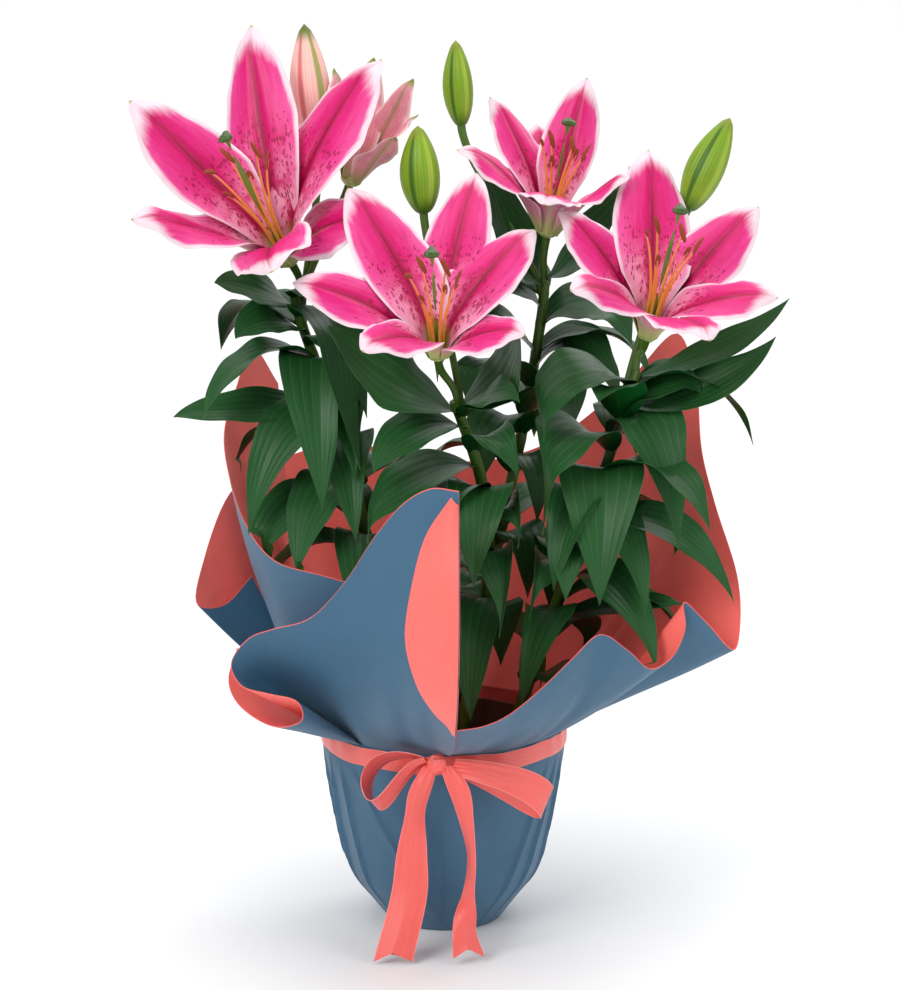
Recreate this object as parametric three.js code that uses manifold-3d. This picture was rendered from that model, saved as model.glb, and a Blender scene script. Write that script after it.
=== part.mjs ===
// A potted oriental lily: four leafy stems grown from bulbs in one plastic pot, with open pink
// blooms and green buds, wrapped in two-tone florist's paper and tied with a satin ribbon bow.
// Millimetres, +Z up, the viewer's side is -Y. The origin is the middle of the wrapped base.
import * as THREE from "three";
import { mergeVertices } from "three/addons/utils/BufferGeometryUtils.js";
import Module from "manifold-3d";

const wasm = await Module();
wasm.setup();

// Driving dimensions

const PAPER = 1.2; // thickness of the wrapping paper
const FIT = 0.3; // gap left between pieces that touch
const TIE_LEVEL = 145; // where the paper collar leaves the ribbon
const OUTER_SHEET_RADIUS = 85.2; // of the first sheet of paper there
const INNER_SHEET_RADIUS = 83.9;
const GATHER_RADIUS = 86.4; // outside of the paper gathered under the ribbon
const SOIL_LEVEL = 116;
const RIBBON = 1; // ribbon thickness
const BAND_WIDTH = 13; // of the ribbon where it goes round the pot
const BOW_WIDTH = 25; // of the ribbon where it opens in the bow
const BULB_LEVEL = 78; // height of a bulb's shoulder, where its stem starts
const LEAF_THICKNESS = 1.3; // at the midrib
const PETAL_THICKNESS = 1.4;
const CELL_GAP = 1.6; // half the clear space between two stems' leaves
const CELL_MARGIN = 14; // how far from that wall a leaf starts to bend away
const PAPER_GAP = 4; // between a leaf's middle and the paper's
const PAPER_MARGIN = 12;

const COLOURS = {
  paper: [0x3f6c89, 0.7],
  ribbon: [0xfd6f68, 0.4],
  pot: [0x5a3a2a, 0.6],
  soil: [0x2c1d14, 1.0],
  bulb: [0xe6dcb4, 0.8],
  leaf: [0x14502a, 0.45],
  bud: [0x86a82c, 0.5],
  blush: [0xe7a4a0, 0.5],
  petal: [0xf0388f, 0.5],
  stamen: [0xd98a3a, 0.6],
};

// Geometry helpers

const V = (x, y, z) => new THREE.Vector3(x, y, z);
const UP = V(0, 0, 1);
const lerp = (a, b, t) => a + (b - a) * t;
const clamp = (x, low, high) => Math.min(high, Math.max(low, x));
const along = (origin, ...steps) => {
  const p = origin.clone();
  for (const [direction, distance] of steps)
    p.addScaledVector(direction, distance);
  return p;
};

function bezier(a, b, c, d) {
  return new THREE.CubicBezierCurve3(a, b, c, d);
}

function geometry(points, triangles) {
  const flat = new Float32Array(points.flatMap((p) => [p.x, p.y, p.z]));
  return new THREE.BufferGeometry()
    .setAttribute("position", new THREE.BufferAttribute(flat, 3))
    .setIndex(triangles);
}

function solid(shape) {
  const bare = shape.clone();
  for (const name of ["normal", "uv"]) bare.deleteAttribute(name);
  const merged = mergeVertices(bare, 1e-4);
  const make = (triVerts) =>
    new wasm.Manifold(
      new wasm.Mesh({
        numProp: 3,
        vertProperties: merged.attributes.position.array,
        triVerts,
      }),
    );
  const triVerts = new Uint32Array(merged.index.array);
  const made = make(triVerts);
  if (made.volume() > 0) return made;
  for (let i = 0; i < triVerts.length; i += 3)
    [triVerts[i], triVerts[i + 1]] = [triVerts[i + 1], triVerts[i]];
  return make(triVerts);
}

// Joins solids, and keeps the largest body: a scrap that a boolean leaves loose is dropped.
function fuse(solids) {
  const joined = solids.reduce((a, b) => a.add(b));
  const bodies = joined.decompose();
  bodies.sort((a, b) => b.volume() - a.volume());
  return bodies[0];
}

// Rings of equally many points, joined in turn. Each end is a flat cap, or a point.
function loft(rings) {
  const points = [];
  const triangles = [];
  const starts = rings.map((ring) => {
    const start = points.length;
    points.push(...ring);
    return start;
  });
  const sides = Math.max(...rings.map((ring) => ring.length));
  rings.slice(1).forEach((ring, i) => {
    const a = (k) => starts[i] + (rings[i].length === 1 ? 0 : k % sides);
    const b = (k) => starts[i + 1] + (ring.length === 1 ? 0 : k % sides);
    for (let k = 0; k < sides; k++) {
      if (rings[i].length > 1) triangles.push(a(k), a(k + 1), b(k));
      if (ring.length > 1) triangles.push(a(k + 1), b(k + 1), b(k));
    }
  });
  const cap = (ring, start, turned) => {
    if (ring.length === 1) return;
    for (let k = 1; k < sides - 1; k++)
      triangles.push(
        ...(turned
          ? [start, start + k + 1, start + k]
          : [start, start + k, start + k + 1]),
      );
  };
  cap(rings[0], starts[0], true);
  cap(rings.at(-1), starts.at(-1), false);
  return solid(geometry(points, triangles));
}

// A round tube of changing radius along a curve.
function tube(curve, radius, steps, sides) {
  const rings = [];
  for (let i = 0; i <= steps; i++) {
    const t = i / steps;
    const middle = curve.getPointAt(t);
    const forward = curve.getTangentAt(t);
    const hint = Math.abs(forward.x) > 0.9 ? V(0, 1, 0) : V(1, 0, 0);
    const u = new THREE.Vector3().crossVectors(forward, hint).normalize();
    const v = new THREE.Vector3().crossVectors(forward, u);
    const r = radius(t);
    rings.push(
      Array.from({ length: sides }, (_, k) => {
        const angle = (2 * Math.PI * k) / sides;
        return along(middle, [u, r * Math.cos(angle)], [v, r * Math.sin(angle)]);
      }),
    );
  }
  return loft(rings);
}

// The normal of a grid of points at one of them: the mean of the quads that meet there, each
// counted once, so that it halves the angle of a fold.
function gridNormal(rows, i, j) {
  const sum = V(0, 0, 0);
  for (const [a, b] of [[i - 1, j - 1], [i - 1, j], [i, j - 1], [i, j]]) {
    if (a < 0 || b < 0 || a > rows.length - 2 || b > rows[0].length - 2) continue;
    const down = new THREE.Vector3().subVectors(rows[a + 1][b + 1], rows[a][b]);
    const side = new THREE.Vector3().subVectors(rows[a][b + 1], rows[a + 1][b]);
    sum.add(down.cross(side).normalize());
  }
  return sum.normalize();
}

// A blade: a grid of points on its middle surface gets a thickness that runs out to nothing at the
// edges. Both faces are split along the same diagonals. The last row is drawn to one point.
function blade(rows, thickness) {
  const across = rows[0].length - 1;
  const last = rows.length - 1;
  const normalAt = (i, j) => {
    const p = (a, b) => rows[clamp(a, 0, last)][clamp(b, 0, across)];
    const down = new THREE.Vector3().subVectors(p(i + 1, j), p(i - 1, j));
    const side = new THREE.Vector3().subVectors(p(i, j + 1), p(i, j - 1));
    return down.cross(side).normalize();
  };
  const points = [];
  const face = [[], []];
  rows.slice(0, last).forEach((row, i) => {
    const top = [];
    const bottom = [];
    row.forEach((p, j) => {
      const s = (2 * j) / across - 1;
      const half = (thickness / 2) * Math.sqrt(1 - s * s);
      const n = normalAt(i, j);
      top.push(points.push(along(p, [n, half])) - 1);
      bottom.push(half > 0 ? points.push(along(p, [n, -half])) - 1 : top[j]);
    });
    face[0].push(top);
    face[1].push(bottom);
  });
  const apex = points.push(rows[last][across / 2].clone()) - 1;
  const triangles = [];
  const add = (a, b, c, turned) => {
    if (a !== b && b !== c && c !== a)
      triangles.push(...(turned ? [a, c, b] : [a, b, c]));
  };
  face.forEach((grid, turned) => {
    for (let i = 0; i < last; i++)
      for (let j = 0; j < across; j++) {
        if (i === last - 1) add(grid[i][j], apex, grid[i][j + 1], turned);
        else {
          add(grid[i][j], grid[i + 1][j], grid[i + 1][j + 1], turned);
          add(grid[i][j], grid[i + 1][j + 1], grid[i][j + 1], turned);
        }
      }
  });
  const [top, bottom] = [face[0][0], face[1][0]];
  for (let j = 0; j < across; j++) {
    add(top[j], top[j + 1], bottom[j + 1], false);
    add(top[j], bottom[j + 1], bottom[j], false);
  }
  return solid(geometry(points, triangles));
}

// A sheet: a grid of points on its middle surface, given an even thickness and square edges.
function sheet(rows, thickness) {
  const across = rows[0].length - 1;
  const last = rows.length - 1;
  const points = [];
  const face = [1, -1].map((way) =>
    rows.map((row, i) =>
      row.map(
        (p, j) =>
          points.push(along(p, [gridNormal(rows, i, j), (way * thickness) / 2])) - 1,
      ),
    ),
  );
  const triangles = [];
  const quad = (a, b, c, d) => triangles.push(a, b, c, a, c, d);
  for (let i = 0; i < last; i++)
    for (let j = 0; j < across; j++) {
      const [a, b, c, d] = [
        [i, j],
        [i + 1, j],
        [i + 1, j + 1],
        [i, j + 1],
      ];
      const at = (f, [y, x]) => face[f][y][x];
      quad(at(0, a), at(0, b), at(0, c), at(0, d));
      triangles.push(at(1, a), at(1, c), at(1, b), at(1, a), at(1, d), at(1, c));
    }
  const rim = [];
  for (let j = 0; j < across; j++) rim.push([0, j]);
  for (let i = 0; i < last; i++) rim.push([i, across]);
  for (let j = across; j > 0; j--) rim.push([last, j]);
  for (let i = last; i > 0; i--) rim.push([i, 0]);
  rim.forEach(([i, j], k) => {
    const [y, x] = rim[(k + 1) % rim.length];
    quad(face[0][i][j], face[0][y][x], face[1][y][x], face[1][i][j]);
  });
  return solid(geometry(points, triangles));
}

const root = new THREE.Group();

function addNode(name, colour, made) {
  const { numProp, vertProperties, triVerts } = made.getMesh();
  const flat = new Float32Array((vertProperties.length / numProp) * 3);
  for (let i = 0; i < flat.length / 3; i++)
    flat.set(vertProperties.subarray(i * numProp, i * numProp + 3), i * 3);
  const shape = new THREE.BufferGeometry()
    .setAttribute("position", new THREE.BufferAttribute(flat, 3))
    .setIndex(new THREE.BufferAttribute(triVerts, 1));
  const [color, roughness] = COLOURS[colour];
  const mesh = new THREE.Mesh(
    shape,
    new THREE.MeshStandardMaterial({ color, roughness, metalness: 0 }),
  );
  mesh.name = name;
  root.add(mesh);
}

// The collar, as ribs from the tie to the rim of the paper:
// [rim x, y, z, angle round the tie (0 in front, 90 right), outward bulge, radius at the tie]
// First sheet: from the left tip round the back and the right wing to the foot of the crease.
const FIRST_SHEET = [
  [-137, 25, 242, -98, 0.02, 84],
  [-156, 4, 226, -93, 0.02, 84],
  [-173, -10, 230, -88, 0.02, 84.6],
  [-171, 28, 254, -95, 0.03, 85.6],
  [-155, 70, 292, -105, 0.06, 85.6],
  [-132, 115, 300, -122, 0.08],
  [-105, 132, 310, -136, 0.08],
  [-70, 145, 313, -150, 0.08],
  [-32, 156, 303, -165, 0.08],
  [8, 156, 297, -180, 0.08],
  [45, 151, 301, -193, 0.08],
  [82, 146, 316, -207, 0.08],
  [133, 128, 361, -222, 0.08],
  [169, 100, 404, -234, 0.06],
  [181, 78, 372, -243, 0.06],
  [184, 50, 328, -253, 0.06],
  [192, 25, 295, -262, 0.05],
  [206, -5, 250, -271, 0.04],
  [207, -25, 223, -277, 0.03],
  [202, -40, 206, -282, 0.02],
  [179, -62, 233, -288, 0.04],
  [164, -70, 248, -293, 0.06],
  [165, -72, 230, -296.5, 0.05],
  [156, -76, 211, -301, 0.04],
  [141, -88, 206, -307, 0.04],
  [124, -105, 224, -312, 0.08],
  [105, -112, 237, -317, 0.12],
  [86, -122, 223, -324, 0.14],
  [66, -129, 205, -332, 0.14],
  [44, -141, 190, -341, 0.11],
  [27, -158, 187, -350, 0.1],
  [9, -178, 190, -358, 0.09],
];
// The front lobe starts at a crease that climbs to the paper's corner, and ends in a curled fold.
const FRONT_LOBE = [
  [10, -162, 347, -358, 0.5],
  [-8, -150, 346, -363, 0.34],
  [-26, -141, 334, -370, 0.26],
  [-44, -136, 312, -378, 0.2],
  [-66, -129, 277, -387, 0.14],
  [-90, -120, 250, -396, 0.08],
  [-116, -111, 240, -403, 0.04, 84.2],
  [-132, -102, 231, -408, 0.02, 83.6],
  [-144, -97, 212, -413, 0, 83.8],
  [-137, -104, 199, -412, 0, 84.6],
  [-118, -117, 197, -408, 0, 84.8],
  [-98, -126, 194, -403, 0, 84.8],
  [-95, -124, 181, -402, 0, 85.8],
  [-114, -111, 172, -407, 0, 85.8],
  [-139, -89, 180, -415, 0, 85.8],
  [-148, -68, 192, -421, 0.02, 85.8],
  [-143, -50, 210, -427, 0.02, 85.8],
];
// Second sheet, inside the first: from behind the front lobe to the tall left wing.
const SECOND_SHEET = [
  [-52, -84, 262, -400, 0.1],
  [-82, -82, 270, -412, 0.1],
  [-115, -62, 275, -425, 0.08],
  [-137, -25, 291, -440, 0.06],
  [-151, 10, 319, -452, 0.06],
  [-156, 40, 344, -462, 0.06],
  [-149, 62, 370, -469, 0.06],
  [-138, 85, 396, -476, 0.06],
  [-121, 105, 366, -485, 0.08],
];
// The flap: the paper's corner turned out over the crease, as its free edge from foot to corner
const FLAP_EDGE = [
  [3, -176, 192],
  [-7, -172, 201],
  [-18, -168, 219],
  [-25, -167, 250],
  [-20, -169, 288],
  [-11, -171, 320],
  [5, -168, 344],
];

const RIB_SHARES = [0, 0.2, 0.45, 0.72, 1];

function collarRows(table, usual) {
  return table.map(([x, y, z, angle, bulge, radius = usual]) => {
    const a = THREE.MathUtils.degToRad(angle);
    const out = V(Math.sin(a), -Math.cos(a), 0);
    const tie = V(0, 0, TIE_LEVEL - 1).addScaledVector(out, radius);
    const rim = V(x, y, z);
    const span = new THREE.Vector3().subVectors(rim, tie);
    const length = span.length();
    const rib = bezier(
      tie,
      along(tie, [span, 0.33], [out, 1.3 * bulge * length], [UP, -0.2 * bulge * length]),
      along(tie, [span, 0.67], [out, 0.9 * bulge * length], [UP, -0.2 * bulge * length]),
      rim,
    );
    return RIB_SHARES.map((t) => rib.getPoint(t));
  });
}

const collarRibs = [
  collarRows(FIRST_SHEET, OUTER_SHEET_RADIUS),
  collarRows(FRONT_LOBE, OUTER_SHEET_RADIUS),
  collarRows(SECOND_SHEET, INNER_SHEET_RADIUS),
];

// Stems: the middle line of each, from its bulb to the foot of its top bloom

const STEMS = {
  left: [
    [-38, 2, BULB_LEVEL],
    [-40, 2, 150],
    [-52, 4, 260],
    [-78, 4, 370],
    [-103, 1, 448],
    [-105, 0, 466],
  ],
  centre: [
    [6, -22, BULB_LEVEL],
    [14, -24, 150],
    [30, -28, 240],
    [27, -38, 320],
    [7, -54, 385],
    [-3, -59, 411],
  ],
  right: [
    [42, -16, BULB_LEVEL],
    [52, -20, 150],
    [80, -28, 240],
    [110, -30, 330],
    [133, -26, 400],
    [139, -22, 417],
  ],
  back: [
    [4, 40, BULB_LEVEL],
    [12, 42, 150],
    [38, 46, 260],
    [62, 47, 380],
    [71, 46, 450],
    [72, 45, 478],
  ],
};
const STEM_FOOT_RADIUS = 5.2;
const STEM_TOP_RADIUS = 3.4;

const stemCurves = Object.fromEntries(
  Object.entries(STEMS).map(([name, line]) => [
    name,
    new THREE.CatmullRomCurve3(line.map((p) => V(...p))),
  ]),
);

// The point of a stem at a height, found by halving: every stem climbs all the way.
function stemAt(name, z) {
  const curve = stemCurves[name];
  let [low, high] = [0, 1];
  for (let i = 0; i < 24; i++) {
    const middle = (low + high) / 2;
    if (curve.getPoint(middle).z < z) low = middle;
    else high = middle;
  }
  return curve.getPoint(low);
}

const stemRadius = (name, z) =>
  lerp(STEM_FOOT_RADIUS, STEM_TOP_RADIUS, (z - BULB_LEVEL) / (STEMS[name].at(-1)[2] - BULB_LEVEL));

// Of the space between two stems, the share that is the first one's
const SPACE_SHARES = {
  left: { centre: 0.45 },
  centre: { left: 0.55, right: 0.36 },
  right: { centre: 0.64 },
  back: {},
};

// The upright walls between a stem's leaves and the others' at a height: [direction, distance]
function walls(name, z) {
  const own = stemAt(name, z);
  return Object.keys(STEMS)
    .filter((other) => other !== name)
    .map((other) => {
      const theirs = stemAt(other, z);
      const n = V(theirs.x - own.x, theirs.y - own.y, 0);
      const share = SPACE_SHARES[name][other] ?? 0.5;
      return [n.clone().normalize(), n.length() * share - CELL_GAP];
    });
}

// How far a leaf can reach level from its stem before it meets one of those walls.
function freeReach(name, foot, out) {
  const reaches = walls(name, foot.z).map(([n, wall]) => (n.dot(out) > 0.05 ? wall / n.dot(out) : 999));
  return Math.min(...reaches);
}

// The level distance from the middle at which the paper stands, in a direction and at a height.
function paperRadius(x, y, z) {
  const angle = Math.atan2(x, -y);
  let nearest = Infinity;
  for (const sheetRibs of collarRibs) {
    const cuts = sheetRibs.map((rib) => {
      if (z > rib.at(-1).z) return null;
      const k = rib.findIndex((p) => p.z > z);
      if (k < 1) return null;
      const p = rib[k - 1].clone().lerp(rib[k], (z - rib[k - 1].z) / (rib[k].z - rib[k - 1].z));
      return { angle: Math.atan2(p.x, -p.y), radius: Math.hypot(p.x, p.y) };
    });
    for (let k = 1; k < cuts.length; k++) {
      const [a, b] = [cuts[k - 1], cuts[k]];
      if (!a || !b) continue;
      const turn = (from, to) => Math.atan2(Math.sin(to - from), Math.cos(to - from));
      const [whole, part] = [turn(a.angle, b.angle), turn(a.angle, angle)];
      if (Math.abs(whole) < 1e-6 || part / whole < -0.2 || part / whole > 1.2) continue;
      nearest = Math.min(nearest, lerp(a.radius, b.radius, part / whole));
    }
  }
  return nearest;
}

// Beyond a margin before its limit, a distance only creeps nearer to the limit.
function soften(distance, limit, margin) {
  const depth = distance - limit;
  return depth > -margin ? limit - margin * Math.exp(-(depth + margin) / margin) : distance;
}

// Leaves bend clear of the walls between the stems, of the paper and of the soil.
function bendClear(p, name) {
  const q = p.clone();
  const own = stemAt(name, p.z);
  for (let round = 0; round < 2; round++)
    for (const [n, wall] of walls(name, p.z)) {
      const distance = (q.x - own.x) * n.x + (q.y - own.y) * n.y;
      q.addScaledVector(n, soften(distance, wall, CELL_MARGIN) - distance);
    }
  const radius = Math.hypot(q.x, q.y);
  const inside = soften(radius, paperRadius(q.x, q.y, q.z) - PAPER_GAP, PAPER_MARGIN);
  if (Number.isFinite(inside)) q.multiply(V(inside / radius, inside / radius, 1));
  q.z = Math.max(q.z, SOIL_LEVEL + 6);
  return q;
}

// Leaves: [stem, height on it, tip x, y, z, width, arch above the straight line, and how far its
// upper face is rolled towards the viewer, in degrees]

const PLACED_LEAVES = [
  ["left", 362, -186, -26, 368, 32, 12, 45],
  ["left", 390, -82, -70, 312, 52, 44, 0],
  ["left", 432, -50, -58, 337, 52, 34, 0],
  ["left", 412, -46, -34, 368, 45, 26, 20],
  ["left", 338, -134, -48, 290, 43, 56, 30],
  ["left", 310, -100, -70, 268, 47, 26, 0],
  ["left", 438, -156, -30, 462, 38, 14, 40],
  ["left", 422, -142, -34, 424, 36, 14, 40],
  ["left", 446, -60, -40, 430, 45, 22, 20],
  ["left", 270, -58, -78, 226, 43, 30, 0],
  ["left", 374, -60, -54, 330, 43, 30, 10],
  ["left", 296, -140, -44, 250, 41, 34, 25],
  ["left", 340, -60, -66, 290, 43, 30, 0],
  ["centre", 365, -47, -98, 345, 45, 12, 20],
  ["centre", 336, -64, -100, 298, 47, 12, 20],
  ["centre", 376, -78, -82, 442, 59, 10, 50],
  ["centre", 380, 90, -72, 440, 56, 10, 50],
  ["centre", 372, 54, -94, 392, 34, 22, 30],
  ["centre", 346, 52, -84, 336, 38, 28, 10],
  ["centre", 316, -34, -104, 262, 43, 26, 0],
  ["centre", 310, 20, -112, 270, 45, 34, 0],
  ["centre", 292, 66, -94, 292, 38, 30, 20],
  ["centre", 236, 18, -112, 176, 43, 24, 0],
  ["centre", 262, 44, -104, 232, 38, 36, 10],
  ["right", 388, 54, -78, 362, 52, 28, 20],
  ["right", 344, 46, -92, 300, 59, 40, 15],
  ["right", 322, 105, -94, 252, 59, 38, 0],
  ["right", 350, 160, -64, 284, 50, 48, 20],
  ["right", 284, 200, -46, 242, 34, 34, 35],
  ["right", 290, 138, -76, 240, 36, 30, 10],
  ["right", 250, 145, -82, 204, 41, 28, 15],
  ["right", 224, 164, -52, 242, 25, 12, 30],
  ["right", 258, 48, -98, 244, 41, 26, 20],
  ["right", 222, 52, -106, 184, 52, 34, 0],
  ["right", 272, 82, -98, 256, 36, 30, 10],
  ["right", 308, 74, -92, 262, 41, 30, 0],
  ["right", 376, 226, -36, 426, 32, -4, 50],
  ["right", 396, 236, -22, 450, 25, 4, 40],
  ["right", 370, 176, -34, 386, 38, 26, 30],
  ["right", 366, 104, -74, 388, 41, 30, 0],
  ["back", 448, 30, 44, 541, 47, 6, 50],
  ["back", 452, 140, 36, 532, 43, 8, 50],
  ["back", 432, -8, 40, 424, 50, 26, 30],
  ["back", 418, 138, 50, 404, 50, 26, 30],
  ["back", 400, -14, 36, 380, 52, 34, 20],
  ["back", 388, 128, 42, 362, 50, 34, 20],
  ["back", 374, 4, 0, 372, 46, 30, 0],
  ["back", 352, 104, 0, 346, 46, 34, 0],
  ["back", 340, 22, 0, 312, 48, 34, 0],
  ["back", 312, 70, 4, 282, 46, 34, 0],
  ["back", 284, 0, 4, 250, 48, 32, 0],
  ["back", 258, 66, -2, 226, 48, 32, 0],
  ["back", 228, 2, 0, 196, 48, 30, 0],
  ["back", 204, 46, -2, 176, 46, 28, 0],
];

// Leaves that the photograph doesn't show: up the far side of each stem by the golden angle
const SPIRALS = {
  left: { from: 175, to: 425, count: 10, facing: 215, spread: 200 },
  centre: { from: 165, to: 300, count: 5, facing: 260, spread: 160 },
  right: { from: 175, to: 385, count: 8, facing: 130, spread: 190 },
  back: { from: 190, to: 440, count: 7, facing: 180, spread: 200 },
};
const GOLDEN_SHARE = 0.618034;
const SPIRAL_LEAF_REACH = 92;
const SPIRAL_LEAF_WIDTH = 42;

function spiralLeaves(name) {
  const { from, to, count, facing, spread } = SPIRALS[name];
  return Array.from({ length: count }, (_, k) => {
    const share = (k * GOLDEN_SHARE) % 1;
    const height = lerp(from, to, k / (count - 1));
    const angle = THREE.MathUtils.degToRad(facing + spread * (share - 0.5));
    const out = V(Math.sin(angle), -Math.cos(angle), 0);
    const foot = stemAt(name, height);
    const free = Math.min(freeReach(name, foot, out) + 14, SPIRAL_LEAF_REACH);
    const reach = free * (0.86 + 0.14 * ((k * 0.37) % 1));
    const drop = SPIRAL_LEAF_REACH - reach + lerp(6, 34, (k * 0.71) % 1);
    const tip = along(foot, [out, reach], [UP, -drop]);
    return [name, height, tip.x, tip.y, tip.z, SPIRAL_LEAF_WIDTH, 30, 0];
  });
}

// The share of its full width that a leaf has, from foot to tip: widest at two fifths.
const leafWidth = (t) => 3.17 * Math.pow(t, 0.65) * Math.pow(1 - t, 1.1);
const LEAF_FOOT_WIDTH = 5;

// Where a leaf's rows are, as shares of its length: the near ones, and those further back
const LEAF_SHARES = [0, 0.1, 0.28, 0.5, 0.76, 1];
const FAR_LEAF_SHARES = [0, 0.14, 0.38, 0.7, 1];
const LEAF_ACROSS = 2;
const LEAF_ROOT = 2.4; // how far a leaf's foot is sunk into its stem

// A leaf's middle surface: a rib that rises, arches over and falls, with a shallow valley along it.
function leafRows([stem, height, x, y, z, width, arch, twist], shares) {
  const tip = V(x, y, z);
  const heart = stemAt(stem, height);
  const out = V(tip.x - heart.x, tip.y - heart.y, 0).normalize();
  const foot = along(heart, [out, stemRadius(stem, height) - LEAF_ROOT]);
  const reach = Math.hypot(tip.x - foot.x, tip.y - foot.y);
  const fall = tip.z - foot.z;
  const rib = bezier(
    foot,
    along(foot, [out, 0.3 * reach], [UP, arch]),
    along(foot, [out, 0.82 * reach], [UP, 0.5 * fall + 0.9 * arch]),
    tip,
  );
  const across = V(out.y, -out.x, 0);
  const roll = out.x < 0 ? -twist : twist;
  const rows = [];
  for (const t of shares) {
    const middle = rib.getPoint(t);
    const forward = rib.getTangent(t);
    const side = across
      .clone()
      .applyAxisAngle(forward, THREE.MathUtils.degToRad(roll * Math.min(1, t * 2)));
    const normal = new THREE.Vector3().crossVectors(side, forward).normalize();
    const half = Math.max(LEAF_FOOT_WIDTH, width * leafWidth(t)) / 2;
    const row = [];
    for (let j = 0; j <= LEAF_ACROSS; j++) {
      const s = (2 * j) / LEAF_ACROSS - 1;
      const valley = half * 0.2 * Math.abs(s);
      row.push(bendClear(along(middle, [side, s * half], [normal, valley]), stem));
    }
    rows.push(row);
  }
  return rows;
}

// Blooms. Each tepal is given by where its tip is; all six leave the foot along the bloom's axis.

const TEPAL_SHARES = [0, 0.15, 0.36, 0.6, 0.83, 1]; // of its length, where its rows are
const FOOT_RADIUS = 8; // of a bloom's receptacle
const THROAT = 5; // height of the receptacle
const CLAW_WIDTH = 6; // of a tepal where it leaves the receptacle
const CLAW_TILT = 16; // degrees off the axis there
const LAYER = 1.5; // half the distance between the inner and the outer tepals

// Tepals in order round the axis, the first an inner one and then by turns:
// [tip x, y, z, width, how much the rib bends on towards its tip, edge wave, twist in degrees]
const BLOOMS = {
  left: {
    across: 4,
    foot: [-105, 4, 470],
    axis: [-0.38, -0.5, 0.78],
    stigma: [-146, -50, 565],
    tepals: [
      [-46, 18, 612, 68, 0.4, 0.4, 0],
      [-52, -42, 509, 58, 0.8, 0.5, 10],
      [-114, -106, 484, 62, 0.8, 0.8, 0],
      [-202, -82, 518, 54, 0.6, 0.9, -28],
      [-211, -12, 585, 60, 0.4, 0.4, 0],
      [-137, 42, 632, 58, 0.3, 0.5, 0],
    ],
  },
  centre: {
    across: 4,
    foot: [-4, -60, 416],
    axis: [-0.03, -0.56, 0.83],
    stigma: [-8, -108, 496],
    tepals: [
      [-64, -30, 529, 54, 0.4, 0.4, 0],
      [22, 0, 538, 46, 0.4, 0.6, 0],
      [61, -40, 502, 50, 0.5, 0.4, 0],
      [52, -118, 446, 44, 0.8, 0.4, 0],
      [-52, -144, 438, 48, 0.8, 0.4, 0],
      [-99, -88, 474, 44, 0.6, 0.5, -20],
    ],
  },
  back: {
    across: 4,
    foot: [72, 45, 483],
    axis: [0.15, -0.3, 0.94],
    stigma: [86, 14, 568],
    tepals: [
      [34, 75, 579, 39, 0.4, 0.4, 0],
      [67, 92, 560, 35, 0.6, 0.3, 0],
      [100, 70, 592, 42, 0.3, 0.3, 0],
      [125, 3, 534, 38, 0.9, 0.4, 15],
      [68, -45, 520, 46, 0.9, 0.3, 0],
      [12, 10, 552, 39, 0.8, 0.4, -15],
    ],
  },
  right: {
    across: 4,
    foot: [139, -20, 422],
    axis: [0.16, -0.46, 0.87],
    stigma: [158, -60, 518],
    tepals: [
      [143, 34, 547, 58, 0.3, 0.3, 0],
      [214, -5, 514, 53, 0.5, 0.5, 0],
      [222, -74, 461, 46, 0.7, 0.5, 20],
      [174, -128, 446, 48, 0.8, 0.4, 0],
      [85, -98, 470, 48, 0.8, 0.4, -10],
      [81, -22, 513, 46, 0.6, 0.5, -10],
    ],
  },
  opening: {
    across: 2,
    foot: [-66, 35, 520],
    axis: [0.32, -0.1, 0.94],
    tepals: [
      [-48, 64, 606, 30, 0.1, 0.4, 0],
      [-24, 48, 594, 28, 0.1, 0.3, 0],
      [-19, 26, 571, 30, 0.2, 0.3, 0],
      [-34, 6, 560, 28, 0.6, 0.5, 0],
      [-62, 10, 590, 28, 0.1, 0.3, 0],
      [-72, 48, 600, 28, 0.1, 0.3, 0],
    ],
  },
};

const tepalWidth = (t) => 3.03 * Math.pow(t + 0.02, 0.85) * Math.pow(1 - t, 0.8);
const smooth = (a, b, t) => THREE.MathUtils.smoothstep(t, a, b);

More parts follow.
